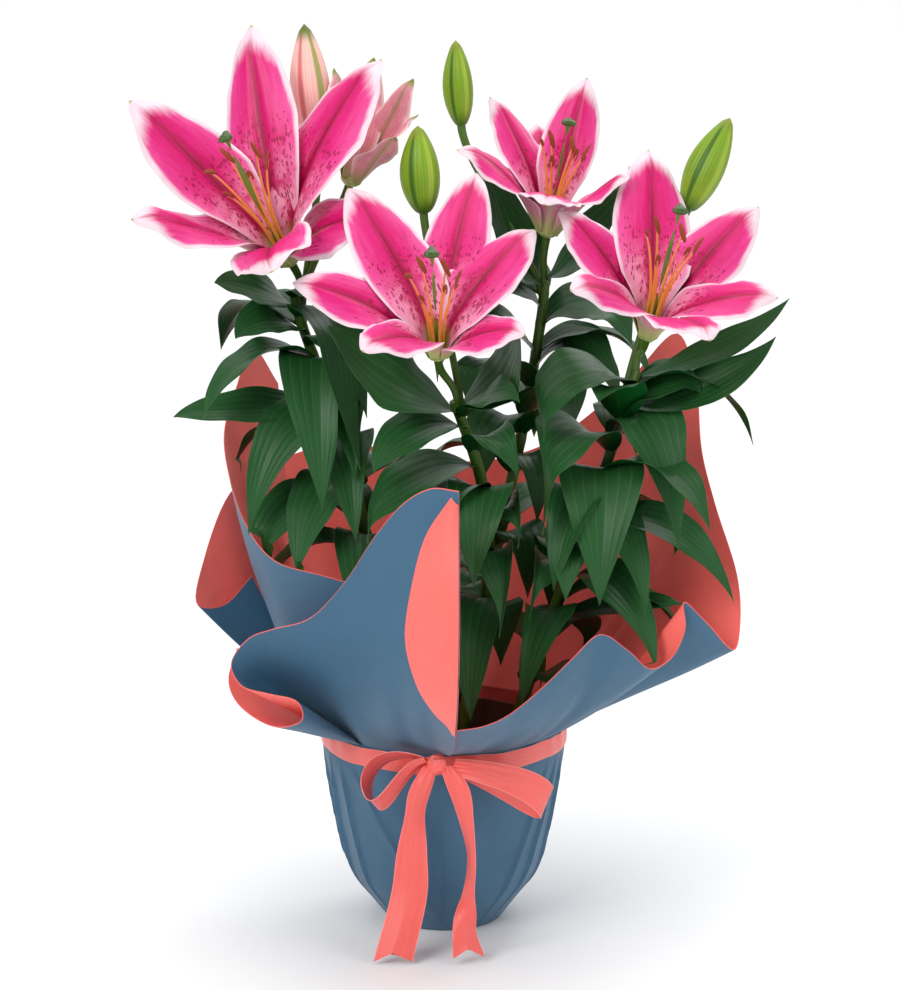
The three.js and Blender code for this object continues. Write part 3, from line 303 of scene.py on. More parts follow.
FRONT_LOBE = [
    [10, -162, 347, -358, 0.5], [-8, -150, 346, -363, 0.34], [-26, -141, 334, -370, 0.26],
    [-44, -136, 312, -378, 0.2], [-66, -129, 277, -387, 0.14], [-90, -120, 250, -396, 0.08],
    [-116, -111, 240, -403, 0.04, 84.2], [-132, -102, 231, -408, 0.02, 83.6],
    [-144, -97, 212, -413, 0, 83.8], [-137, -104, 199, -412, 0, 84.6],
    [-118, -117, 197, -408, 0, 84.8], [-98, -126, 194, -403, 0, 84.8], [-95, -124, 181, -402, 0, 85.8],
    [-114, -111, 172, -407, 0, 85.8], [-139, -89, 180, -415, 0, 85.8],
    [-148, -68, 192, -421, 0.02, 85.8], [-143, -50, 210, -427, 0.02, 85.8],
]
SECOND_SHEET = [
    [-52, -84, 262, -400, 0.1], [-82, -82, 270, -412, 0.1], [-115, -62, 275, -425, 0.08],
    [-137, -25, 291, -440, 0.06], [-151, 10, 319, -452, 0.06], [-156, 40, 344, -462, 0.06],
    [-149, 62, 370, -469, 0.06], [-138, 85, 396, -476, 0.06], [-121, 105, 366, -485, 0.08],
]
FLAP_EDGE = [
    [3, -176, 192], [-7, -172, 201], [-18, -168, 219], [-25, -167, 250], [-20, -169, 288],
    [-11, -171, 320], [5, -168, 344],
]


def through(knots, values, x):
    """A smooth line through values at knots: on each span a cubic, whose slope at a knot is that of
    the chords beside it, each weighted by the other's length."""
    knots, x = np.asarray(knots, float), np.asarray(x, float)
    values = np.asarray(values, float).reshape(len(knots), -1)
    span = np.diff(knots)[:, None]
    chord = np.diff(values, axis=0) / span
    inner = (chord[:-1] * span[1:] + chord[1:] * span[:-1]) / (span[1:] + span[:-1])
    slope = np.vstack([chord[:1], inner, chord[-1:]])
    k = np.clip(np.searchsorted(knots, x, side="right") - 1, 0, len(knots) - 2)
    h = span[k]
    t = np.clip((x - knots[k])[:, None] / h, 0, 1)
    near = (2 * t**3 - 3 * t**2 + 1) * values[k] + (t**3 - 2 * t**2 + t) * h * slope[k]
    far = (3 * t**2 - 2 * t**3) * values[k + 1] + (t**3 - t**2) * h * slope[k + 1]
    return near + far


def bend(a, b, c, d, t):
    """A cubic Bezier line: its four points weighted by the Bernstein terms of t."""
    return (1 - t) ** 3 * a + 3 * (1 - t) ** 2 * t * b + 3 * (1 - t) * t**2 * c + t**3 * d


def collar_sheet(table, usual):
    """A sheet of the collar as columns of points from the tie up to the rim. Rim, tie angle, bulge and
    radius run smoothly through the table by the root of the distance between rims. Each column is
    a Bezier line that leans outwards by its bulge."""
    full = np.array([row + [usual] * (6 - len(row)) for row in table], float)
    step = np.sqrt(np.linalg.norm(np.diff(full[:, :3], axis=0), axis=1) + 4)
    knots = np.concatenate([[0], np.cumsum(step)])
    spans = zip(knots, knots[1:])
    columns = np.concatenate([np.linspace(a, b, COLUMNS_BETWEEN, endpoint=False) for a, b in spans])
    fine = through(knots, full, np.append(columns, knots[-1]))
    angle = np.radians(fine[:, 3:4])
    out = np.concatenate([np.sin(angle), -np.cos(angle), 0 * angle], 1)
    tie = out * fine[:, 5:6] + [0, 0, TIE_LEVEL - 1]
    span = fine[:, :3] - tie
    length = np.linalg.norm(span, axis=1, keepdims=True)
    lift = fine[:, 4:5] * length
    up = np.array([0, 0, 1.0])
    near = tie + 0.33 * span + 1.3 * lift * out - 0.2 * lift * up
    far = tie + 0.67 * span + 0.9 * lift * out - 0.2 * lift * up
    t = np.linspace(0, 1, COLLAR_ROWS)[None, :, None]
    grid = bend(tie[:, None], near[:, None], far[:, None], fine[:, None, :3], t)
    gather = 11 * t * (1 - t) ** 3 * np.sin(angle[:, None] * 31 + 2 * np.sin(7 * angle[:, None]))
    crumple = 1.1 * np.sin(np.pi * t[..., 0]) * wander(angle * 9, 3 * t[..., 0], 11)
    return grid + (gather + crumple[..., None]) * out[:, None]


def facing(surface):
    """The way a surface faces at each of its points: the cross product of its two directions."""
    return np.cross(np.gradient(surface, axis=0), np.gradient(surface, axis=1))


def slab(surface, thick, seed=0.5, flip=False):
    """A sheet with an even or given thickness: the surface moved by half of it along its normals to
    both sides, each cross-section one closed ring. The upper face carries 1, the lower 0."""
    n, m = surface.shape[:2]
    normal = unit(facing(surface)) * (-1 if flip else 1)
    off = normal * np.broadcast_to(thick, (n, m))[..., None] / 2
    rings = np.concatenate([surface + off, (surface - off)[:, ::-1]], 1)
    wide = np.zeros((n, m))
    wide[:, 1:] = np.cumsum(np.linalg.norm(np.diff(surface, axis=1), axis=-1), 1)
    wide -= wide[:, -1:] / 2
    long = np.zeros((n, 1))
    long[1:, 0] = np.cumsum(np.linalg.norm(np.diff(surface[:, m // 2], axis=0), axis=-1))
    top = joined(np.linspace(0, 1, m), np.linspace(0, 1, n)[:, None], 1.0)
    place = np.concatenate([top, top[:, ::-1] * [1, 1, 0]], 1)
    flat = joined(wide, long, seed)
    return rings, place, np.concatenate([flat, flat[:, ::-1]], 1), 0


FLAP_SPAN = (0.29, 0.97)
sheets = [
    collar_sheet(FIRST_SHEET, OUTER_SHEET_RADIUS),
    collar_sheet(FRONT_LOBE, OUTER_SHEET_RADIUS),
    collar_sheet(SECOND_SHEET, INNER_SHEET_RADIUS),
]

# The corner that is turned out in front: straight lines from the front lobe's first column, its
# crease, to the corner's own edge, pulled forward in between.
crease = sheets[1][0]
edge = through(np.linspace(0, 1, len(FLAP_EDGE)), FLAP_EDGE, np.linspace(0, 1, 40))
root = through(np.linspace(0, 1, COLLAR_ROWS), crease, np.linspace(*FLAP_SPAN, 40)) + [-0.6, -0.4, 0]
share = np.linspace(0, 1, 12)[None, :, None]
flap = root[:, None] * (1 - share) + edge[:, None] * share - np.sin(np.pi * share) * [0, 3.0, 0]

PLEATS = [
    (-2.75, 0.5), (-2.3, -0.3), (-1.85, 0.2), (-1.5, 0.15), (-1.22, 0.1), (-0.95, -0.12), (-0.46, -0.95),
    (0.82, 0.45), (1.02, 0.3), (1.3, -0.1), (1.7, 0.3), (2.2, -0.3), (2.7, 0.1),
]


def pleated(angle, height):
    """The folds of the cup: each stands out sharply on one side of its line and dies away over a
    finger's width on the other; the line leans as it climbs, and the folds are deepest below the tie."""
    out = 0 * (angle + height)
    for at, lean in PLEATS:
        line = at + lean * (height - 70) / 140
        off = 80 * np.sin(0.5 * (angle - line)) * 2
        near = np.where(off < 0, np.exp(off / 0.7), np.exp(-off / 12))
        out += 3.0 * near
    fade = np.clip(height / 50, 0, 1) * np.clip((128 - height) / 20, 0, 1)
    return (out - 1.2) * fade + 0.5 * wander(angle * 4, height * 0.05, 3) * np.clip(height / 20, 0, 1)


CUP_OUTLINE = [(42, 0), (52, 14), (66, 34), (76, 70), (82.6, 108), (86.4, 131), (86.4, TIE_LEVEL)]
CUP_KNOTS = [1, 1.3, 2, 3, 4, 4.8, 5.2]
outer = through(CUP_KNOTS, CUP_OUTLINE, np.linspace(CUP_KNOTS[0], CUP_KNOTS[-1], 70))
outside = np.concatenate([[(0.5, 0), (10, 0), (20, 0), (30, 0), (40, 0)], outer])
inside = np.maximum(outside[::-1] - [1.4, 0], [0.4, 1.2])
cup = turned_skin(np.concatenate([outside, inside]), 420, pleated)
cup[1][..., 0] = 0.5
cup[1][len(outside):, :, 2] = 0


def split(vector):
    """The three numbers of a vector."""
    parts = put("ShaderNodeSeparateXYZ", {0: vector})
    return parts[0], parts[1], parts[2]


def on_blade(shader):
    """What the points of a piece carry: across, along and which face; then the flat place."""
    place, flat = (put("ShaderNodeAttribute", tree=shader.id_data, attribute_name=name)["Vector"]
                   for name in ("place", "flat"))
    return *split(place), flat


paper, shader = material("two-tone florist's paper", 0.62, Sheen_Weight=0.12, Sheen_Roughness=0.5)
across, along, face = on_blade(shader)[:3]
place = object_place(shader)
cloud = noise(place, 14)
blue = mixed(cloud, (44, 86, 114), (58, 104, 134))
coral = mixed(cloud, (246, 96, 88), (252, 116, 106))
rim = across.maths("GREATER_THAN", 0.9975)
outside_face = step_up(face, 0.45, 0.55).maths("SUBTRACT", rim, clamp=True)
feed(shader, Base_Color=mixed(outside_face, coral, blue))
raise_by(shader, noise(place, 35, 2.0) * 6.0 + noise(place, 1500, 4.0), 0.00025)

outward = [np.sum(facing(grid) * grid * [1, 1, 0]) for grid in sheets] + [np.sum(facing(flap)[..., 1])]
skins = [slab(sheet, PAPER, flip=lean < 0) for sheet, lean in zip([*sheets, flap], outward)]
wrapping = piece("wrapping_paper", [*skins, cup], [paper], "paper", "wrap", crease=55)

# The ribbon. A coral satin ribbon tied once round the gathered paper, over its pleats, and finished
# in front with a hand-tied bow: a knot, two open loops and two tails cut to swallowtails.

RIBBON = 0.5
BOW_WIDTH = 25
KNOT = np.array([-5, -105.4, 144.0])

satin, shader = material(
    "coral satin ribbon", 0.3, Specular_IOR_Level=0.7, Sheen_Weight=0.15, Sheen_Roughness=0.3)
across, along, face, flat_place = on_blade(shader)
weft = (split(flat_place)[1] * 16.0).maths("SINE")
cloud = noise(put("ShaderNodeMapping", {"Vector": flat_place, "Scale": (0.9, 0.05, 1.0)}), 1.0)
rose = mixed(cloud, (236, 80, 76), (248, 108, 98))
selvedge = step_up(abs(across - 0.5), 0.47, 0.485)
feed(shader, Base_Color=mixed(selvedge * 0.6, rose, (255, 156, 144)))
raise_by(shader, weft * 0.12 + cloud, 0.0004, 0.5)

BAND_RADIUS = 87.4
BAND_LEVEL = 136.7
BAND_HALF = 6.5


def band_grid():
    """The ribbon round the tie: a ring 13 mm high and just outside the paper, whose edges lean in,
    with shallow tucks that follow the paper's pleats."""
    angle = np.linspace(0, 2 * np.pi, 361)[:, None]
    height = np.linspace(-1, 1, 9)[None]
    tuck = 0.45 * np.sin(27 * angle + 1.5 * np.sin(5 * angle) + 0.8 * height)
    radius = BAND_RADIUS + tuck * (0.6 + 0.4 * height) - 0.4 * height**2
    level = BAND_LEVEL + BAND_HALF * height + 0.5 * np.sin(9 * angle)
    return joined(radius * np.sin(angle), -radius * np.cos(angle), level)


band = piece("ribbon_round_paper", [slab(band_grid(), RIBBON)], [satin], "ribbon", "ribbon_band")


def bow_loop(angle, length, arch, opening, rise, lean):
    """A loop of the bow. Its middle line leaves the knot, arches up on its way out, turns at its far end
    and comes back behind; the two halves part by twice the opening. The ribbon is gathered at the
    knot and opens to full width at the turn; fine tucks fan out from the knot."""
    a, turn = math.radians(angle), math.radians(lean)
    out, front = np.array([math.cos(a), 0, math.sin(a)]), np.array([0, -1.0, 0])
    upright = np.array([-math.sin(a), 0, math.cos(a)]) * (-1 if math.cos(a) < 0 else 1)
    broad = upright * math.cos(turn) + front * math.sin(turn)
    apart = front * math.cos(turn) - upright * math.sin(turn)
    t = np.linspace(0.03, 0.97, 110)[:, None, None]
    s = np.linspace(-1, 1, 21)[None, :, None]
    reach = np.sin(np.pi * t) ** 0.8
    swing = np.sin(2 * np.pi * t) * np.sqrt(np.sin(np.pi * t))
    half = BOW_WIDTH / 2 * (0.3 + 0.7 * np.sin(np.pi * t) ** 0.6)
    line = KNOT + out * length * reach + apart * opening * swing
    line = line + np.array([0, 0, 1.0]) * (rise * swing + 4 * arch * reach * (1 - reach))
    tucks = 0.9 * np.sin(8 * s + 3 * np.sin(2 * s)) * (1 - reach) ** 1.1
    cup = 1.6 * s**2 * reach + 0.5 * np.sin(3 * s + 7 * t) * reach
    return line + broad * s * half + apart * (tucks + cup) * np.sign(0.5 - t)


LOOPS = [(-20, 80, 4, 12, 11, 8), (208, 52, 12, 13, 0, 52)]
TAILS = [
    [(-9, -107, 143, 9, 0), (-16, -108, 126, 17, 25), (-20, -106, 106, 16, 30),
     (-22, -104, 78, 21, 5), (-24, -104, 48, 25, -8), (-35, -109, 2, 27, 0)],
    [(2, -107, 143, 9, 0), (10, -109, 127, 17, -25), (15, -107, 104, 15, -45), (19, -104, 75, 13, -64),
     (17, -104, 48, 13, -50), (14, -105, 24, 17, 20), (17, -109, 5, 22, 10)],
]


def bow_tail(table):
    """A tail of the bow: the table's middle line, width and turn about the upright run smoothly down
    it. Its end is cut to a notch 7 mm deep, and its edges curl forward a little."""
    fine = through(np.linspace(0, 1, len(table)), table, np.linspace(0, 1, 80))
    turn = np.radians(fine[:, 4])
    side = np.stack([np.cos(turn), np.sin(turn), 0 * turn], -1)[:, None]
    s = np.linspace(-1, 1, 17)[None, :, None]
    share = np.linspace(0, 1, 80)[:, None, None]
    down = fine[:, None, :3] + side * s * fine[:, None, 3:4] / 2
    notch = 7 * (1 - np.abs(s)) * share**8
    curl = 1.5 * s**2 + 0.7 * np.sin(8 * s) * (1 - share) ** 4
    return down + np.array([0, 0, 1.0]) * notch + np.array([0, 1.0, 0]) * curl


def bow_knot():
    """The knot: rings 6.4 mm high and three quarters as deep, rounded off at both ends by the root of
    1.12 - (x / 7)^2, with two waves of folds round them."""
    angle, x = turn_in(48), np.linspace(-6.5, 6.5, 25)[:, None]
    fold = 1 + 0.07 * np.sin(5 * angle + 0.5 * x) + 0.04 * np.sin(11 * angle)
    radius = 6.4 * np.sqrt(np.clip(1.12 - (x / 7) ** 2, 0.02, 1)) * fold
    rings = KNOT + joined(x, 0.75 * radius * np.cos(angle), radius * np.sin(angle))
    return rings, round_place(angle, x / 15 + 0.5), joined(7 * angle, x, 0.3), 0


folds = [
    bow_knot(),
    slab(bow_loop(*LOOPS[0]), RIBBON, seed=0.1),
    slab(bow_loop(*LOOPS[1]), RIBBON, seed=0.7),
    slab(bow_tail(TAILS[0]), RIBBON, seed=0.4),
    slab(bow_tail(TAILS[1]), RIBBON, seed=0.9),
]
bow = piece("ribbon_bow_tied", folds, [satin], "ribbon", "ribbon_bow")

# The leafy stems. Four green stems, each one living piece with its alternate lance-shaped leaves
# and its flower stalks. Each leaf is a thin curved blade that grows straight out of the stem.

BULB_LEVEL = 78
STEM_FOOT_RADIUS = 5.2
STEM_TOP_RADIUS = 3.4
CELL_GAP = 1.6
CELL_MARGIN = 14
PAPER_GAP = 4
PAPER_MARGIN = 12
STEMS = {
    "left": [[-38, 2, BULB_LEVEL], [-40, 2, 150], [-52, 4, 260], [-78, 4, 370], [-103, 1, 448],
             [-105, 0, 466]],
    "centre": [[6, -22, BULB_LEVEL], [14, -24, 150], [30, -28, 240], [27, -38, 320], [7, -54, 385],
               [-3, -59, 411]],
    "right": [[42, -16, BULB_LEVEL], [52, -20, 150], [80, -28, 240], [110, -30, 330], [133, -26, 400],
              [139, -22, 417]],
    "back": [[4, 40, BULB_LEVEL], [12, 42, 150], [38, 46, 260], [62, 47, 380], [71, 46, 450],
             [72, 45, 478]],
}
SPACE_SHARES = {
    "left": {"centre": 0.45},
    "centre": {"left": 0.55, "right": 0.36},
    "right": {"centre": 0.64},
    "back": {},
}
PLACED_LEAVES = {
    "left": [
        [362, -186, -26, 368, 32, 12, 45], [390, -82, -70, 312, 52, 44, 0],
        [432, -50, -58, 337, 52, 34, 0], [412, -46, -34, 368, 45, 26, 20],
        [338, -134, -48, 290, 43, 56, 30], [310, -100, -70, 268, 47, 26, 0],
        [438, -156, -30, 462, 38, 14, 40], [422, -142, -34, 424, 36, 14, 40],
        [446, -60, -40, 430, 45, 22, 20], [270, -58, -78, 226, 43, 30, 0],
        [374, -60, -54, 330, 43, 30, 10], [296, -140, -44, 250, 41, 34, 25],
        [340, -60, -66, 290, 43, 30, 0],
    ],
    "centre": [
        [365, -47, -98, 345, 45, 12, 20], [336, -64, -100, 298, 47, 12, 20],
        [376, -78, -82, 442, 59, 10, 50], [380, 90, -72, 440, 56, 10, 50],
        [372, 54, -94, 392, 34, 22, 30], [346, 52, -84, 336, 38, 28, 10],
        [316, -34, -104, 262, 43, 26, 0], [310, 20, -112, 270, 45, 34, 0],
        [292, 66, -94, 292, 38, 30, 20], [236, 18, -112, 176, 43, 24, 0],
        [262, 44, -104, 232, 38, 36, 10],
    ],
    "right": [
        [388, 54, -78, 362, 52, 28, 20], [344, 46, -92, 300, 59, 40, 15],
        [322, 105, -94, 252, 59, 38, 0], [350, 160, -64, 284, 50, 48, 20],
        [284, 200, -46, 242, 34, 34, 35], [290, 138, -76, 240, 36, 30, 10],
        [250, 145, -82, 204, 41, 28, 15], [224, 164, -52, 242, 25, 12, 30],
        [258, 48, -98, 244, 41, 26, 20], [222, 52, -106, 184, 52, 34, 0],
        [272, 82, -98, 256, 36, 30, 10], [308, 74, -92, 262, 41, 30, 0],
        [376, 226, -36, 426, 32, -4, 50], [396, 236, -22, 450, 25, 4, 40],
        [370, 176, -34, 386, 38, 26, 30], [366, 104, -74, 388, 41, 30, 0],
    ],
    "back": [
        [448, 30, 44, 541, 47, 6, 50], [452, 140, 36, 532, 43, 8, 50], [432, -8, 40, 424, 50, 26, 30],
        [418, 138, 50, 404, 50, 26, 30], [400, -14, 36, 380, 52, 34, 20],
        [388, 128, 42, 362, 50, 34, 20], [374, 4, 0, 372, 46, 30, 0], [352, 104, 0, 346, 46, 34, 0],
        [340, 22, 0, 312, 48, 34, 0], [312, 70, 4, 282, 46, 34, 0], [284, 0, 4, 250, 48, 32, 0],
        [258, 66, -2, 226, 48, 32, 0], [228, 2, 0, 196, 48, 30, 0], [204, 46, -2, 176, 46, 28, 0],
    ],
}
SPIRALS = {
    "left": (175, 425, 10, 215, 200),
    "centre": (165, 300, 5, 260, 160),
    "right": (175, 385, 8, 130, 190),
    "back": (190, 440, 7, 180, 200),
}
SPIRAL_LEAF_REACH = 92
SPIRAL_LEAF_WIDTH = 42


def stem_at(name, height):
    """The point of a stem at each height: x and y run smoothly through the stem's table by height."""
    table = np.array(STEMS[name], float)
    height = np.asarray(height, float)
    found = through(table[:, 2], table[:, :2], height.ravel())
    return np.concatenate([found, height.ravel()[:, None]], 1).reshape(*height.shape, 3)


def stem_radius(name, height):
    """A stem's radius, which falls evenly from its bulb to its top bloom."""
    share = (height - BULB_LEVEL) / (STEMS[name][-1][2] - BULB_LEVEL)
    return STEM_FOOT_RADIUS + (STEM_TOP_RADIUS - STEM_FOOT_RADIUS) * share


def soften(distance, limit, margin):
    """Beyond a margin before its limit, a distance only creeps nearer to the limit."""
    near = limit - margin * np.exp(-(distance - limit + margin) / margin)
    return np.where(distance > limit - margin, near, distance)


PATCH_FLOOR = 140
PATCH_HEIGHT = 8
PATCH_TURN = 5
PATCH_ROWS = 37
PATCH_COLUMNS = 360 // PATCH_TURN


def patch_of(points):
    """Each point's place in a grid of patches round the plant: how many patches up and round."""
    turn = np.degrees(np.arctan2(points[..., 0], -points[..., 1])) % 360
    return (points[..., 2] - PATCH_FLOOR) / PATCH_HEIGHT, turn / PATCH_TURN


paper_points = np.concatenate([grid[:, 1:].reshape(-1, 3) for grid in sheets])
row, column = patch_of(paper_points)
patch = np.clip(row, 0, PATCH_ROWS - 1).astype(int), column.astype(int) % PATCH_COLUMNS
paper_reach = np.full((PATCH_ROWS, PATCH_COLUMNS), 999.0)
np.minimum.at(paper_reach, patch, np.hypot(paper_points[:, 0], paper_points[:, 1]))


def inside_paper(points):
    """How far from the middle the paper stands in each point's direction and at its height: the least
    distance of the collar's own points in the point's patch, mixed with that of the patches beside."""
    row, column = patch_of(points)
    row, column = np.clip(row - 0.5, 0, PATCH_ROWS - 1.01), column - 0.5
    i, j = np.floor(row).astype(int), np.floor(column).astype(int)
    u, v = row - i, column - j
    here, beside = j % PATCH_COLUMNS, (j + 1) % PATCH_COLUMNS
    low, high = (paper_reach[k, here] * (1 - v) + paper_reach[k, beside] * v for k in (i, i + 1))
    return low * (1 - u) + high * u


def walls(name, height):
    """The upright walls between a stem's leaves and its neighbours': direction and distance."""
    own = stem_at(name, height)[..., :2]
    for other in STEMS:
        if other != name:
            gap = stem_at(other, height)[..., :2] - own
            wide = np.linalg.norm(gap, axis=-1)
            share = SPACE_SHARES[name].get(other, 0.5)
            yield gap / wide[..., None], wide * share - CELL_GAP


def bend_clear(points, name):
    """Leaves bend clear of the walls between the stems, of the paper and of the soil."""
    points = points.copy()
    own = stem_at(name, points[..., 2])[..., :2]
    for n, wall in [*walls(name, points[..., 2])] * 2:
        distance = np.sum((points[..., :2] - own) * n, -1)
        points[..., :2] += n * (soften(distance, wall, CELL_MARGIN) - distance)[..., None]
    radius = np.maximum(np.hypot(points[..., 0], points[..., 1]), 1)
    inside = soften(radius, inside_paper(points) - PAPER_GAP, PAPER_MARGIN)
    points[..., :2] *= (inside / radius)[..., None]
    points[..., 2] = np.maximum(points[..., 2], SOIL_LEVEL + 6)
    return points


def spiral_leaves(name):
    """The leaves that the photograph hides: up the far side of each stem by the golden angle."""
    start, end, count, middle, spread = SPIRALS[name]
    for k in range(count):
        height = start + (end - start) * k / (count - 1)
        a = math.radians(middle + spread * ((k * 0.618034) % 1 - 0.5))
        out = np.array([math.sin(a), -math.cos(a)])
        foot = stem_at(name, height)
        free = [wall / (n @ out) if n @ out > 0.05 else 999 for n, wall in walls(name, height)]
        reach = min(min(free) + 14, SPIRAL_LEAF_REACH) * (0.86 + 0.14 * ((k * 0.37) % 1))
        drop = SPIRAL_LEAF_REACH - reach + 6 + 28 * ((k * 0.71) % 1)
        tip = foot[:2] + out * reach
        yield height, tip[0], tip[1], foot[2] - drop, SPIRAL_LEAF_WIDTH, 30, 0


def turn_about(vector, axis, angle):
    """Each vector turned about its unit axis by its angle, by the rule of Rodrigues."""
    c, s = np.cos(angle)[:, None], np.sin(angle)[:, None]
    dot = np.sum(vector * axis, -1, keepdims=True)
    return vector * c + np.cross(axis, vector) * s + axis * dot * (1 - c)


def leaf(stem, height, x, y, z, width, arch, twist, seed):
    """A leaf. Its rib is a Bezier line that rises, arches over and falls to the tip. Its half width is
    3.17 t^0.65 (1-t)^1.1 of the widest, with a shallow valley, five raised strips between the
    veins, and edges that wave more where the blade is free. It is thinnest at its edges."""
    draw = np.random.default_rng(seed)
    phase, sway, tone = draw.uniform(0, 6.28), draw.uniform(-0.08, 0.08), draw.uniform()
    tip = np.array([x, y, z], float)
    heart = stem_at(stem, height)
    out = unit((tip - heart) * [1, 1, 0])
    foot = heart + out * (stem_radius(stem, height) - 2.4)
    reach, fall, up = np.hypot(*(tip - foot)[:2]), z - foot[2], np.array([0, 0, 1.0])
    near = foot + out * 0.3 * reach + up * arch
    far = foot + out * 0.82 * reach + up * (0.5 * fall + 0.9 * arch)
    t = np.linspace(0, 1, 34)
    rib = bend(foot, near, far, tip, t[:, None])
    forward = unit(np.gradient(rib, axis=0))
    roll = math.radians(-twist if out[0] < 0 else twist) * np.minimum(1, t * 2)
    side = turn_about(np.broadcast_to([out[1], -out[0], 0], rib.shape), forward, roll)
    normal = unit(np.cross(side, forward))
    full = 3.17 * t**0.65 * (1 - t) ** 1.1
    half = np.maximum(np.maximum(2.5 * (1 - t) ** 3, 0.12), width * full / 2)[:, None, None]
    s = np.linspace(-1, 1, 13)[None, :, None]
    t = t[:, None, None]
    free = np.sin(np.pi * t)
    valley = half * 0.26 * (np.sqrt(s**2 + 0.02) - 0.14)
    strips = 0.1 * np.cos(2 * np.pi * 3 * s) * free
    wave = 0.055 * width * s**2 * free * np.sin(9 * t + phase + 0.9 * np.sign(s))
    wave += 0.02 * width * np.abs(s) ** 3 * free * np.sin(23 * t + 2 * phase + 2 * np.sign(s))
    surface = rib[:, None] + side[:, None] * (s * half + sway * width * free)
    surface = surface + normal[:, None] * (valley + strips + wave)
    thick = 0.25 + 0.75 * np.sqrt(1 - s[..., 0] ** 2) * (1 - 0.6 * t[..., 0])
    return slab(bend_clear(surface, stem), thick, tone)


def stalk(line, radius, sides=14):
    """A round stalk: a circle of the given radius carried along a line of points, square to it."""
    forward = unit(np.gradient(line, axis=0))
    u = unit(np.cross(forward, [0.2, 1.0, 0.1]))
    v = np.cross(forward, u)
    angle = turn_in(sides)
    ring = np.cos(angle)[..., None] * u[:, None] + np.sin(angle)[..., None] * v[:, None]
    radius = np.broadcast_to(np.asarray(radius, float), len(line))[:, None]
    length = np.cumsum([0, *np.linalg.norm(np.diff(line, axis=0), axis=1)])[:, None]
    rings = line[:, None] + ring * radius[..., None]
    place = round_place(angle, np.linspace(0, 1, len(line))[:, None])
    return rings, place, joined(radius * angle, length, 0.5), 1


def vein_group():
    """The parallel veins of a lily's leaf, petal or bud, as a mask and a height. Across the blade the
    place is folded by a triangle wave of the given count; near each fold the mask rises to 1. The
    lines waver with a noise along the blade."""
    group = bpy.data.node_groups.new("parallel veins", "ShaderNodeTree")
    for key in ("Across", "Along", "Count", "Fine", "Waver"):
        group.interface.new_socket(name=key, in_out="INPUT", socket_type="NodeSocketFloat")
    for key in ("Line", "Height"):
        group.interface.new_socket(name=key, in_out="OUTPUT", socket_type="NodeSocketFloat")
    given = put("NodeGroupInput", tree=group)
    spot = put("ShaderNodeCombineXYZ", {0: given["Across"], 1: given["Along"] * 6.0})
    drift = (noise(spot, 1.0) - 0.5) * given["Waver"]
    fold = ((given["Across"] + drift) * given["Count"]).maths("PINGPONG", 0.5)
    feed(group.nodes.new("NodeGroupOutput"), Line=step_up(fold, given["Fine"], 0.0), Height=fold)
    return group


VEINS = vein_group()


def veins(across, along, count, fine, waver):
    """The vein group placed in a material: its line mask and its height."""
    inputs = {"Across": across, "Along": along, "Count": count, "Fine": fine, "Waver": waver}
    made = put("ShaderNodeGroup", inputs, node_tree=VEINS)
    return made["Line"], made["Height"]


leaf_green, shader = material("dark lily leaf", 0.4, Specular_IOR_Level=0.22)
across, along, face, flat_place = on_blade(shader)
tone = split(flat_place)[2]
line, height = veins(across, along, 7.0, 0.1, 0.014)
fine_line, fine_height = veins(across, along, 30.0, 0.4, 0.004)
cloud = noise(object_place(shader), 28)
green = mixed(cloud, (0, 36, 12), (4, 62, 24))
green = mixed(tone * 0.55, green, (8, 84, 28))
green = mixed(line * 0.35, green, (38, 96, 40))
green = mixed(step_up(abs(across - 0.5), 0.025, 0.0) * 0.4, green, (60, 118, 46))
green = mixed(step_up(along, 0.95, 1.0), green, (122, 152, 40))
under = mixed(line * 0.5, (34, 82, 40), (66, 116, 58))
gloss = put("ShaderNodeMapRange", {"Value": cloud, "To Min": 0.3, "To Max": 0.46})
feed(shader, Base_Color=mixed(face, under, green), Roughness=gloss)
raise_by(shader, height * 0.5 + fine_height * 0.08, 0.001, 0.6)

stem_green, shader = material("lily stem", 0.42)
across, along = on_blade(shader)[:2]
line, height = veins(across, along, 14.0, 0.4, 0.02)
green = mixed(noise(object_place(shader), 45), (36, 76, 14), (80, 120, 32))
feed(shader, Base_Color=mixed(line * 0.4, green, (104, 138, 48)))
raise_by(shader, height, 0.0005, 0.7)

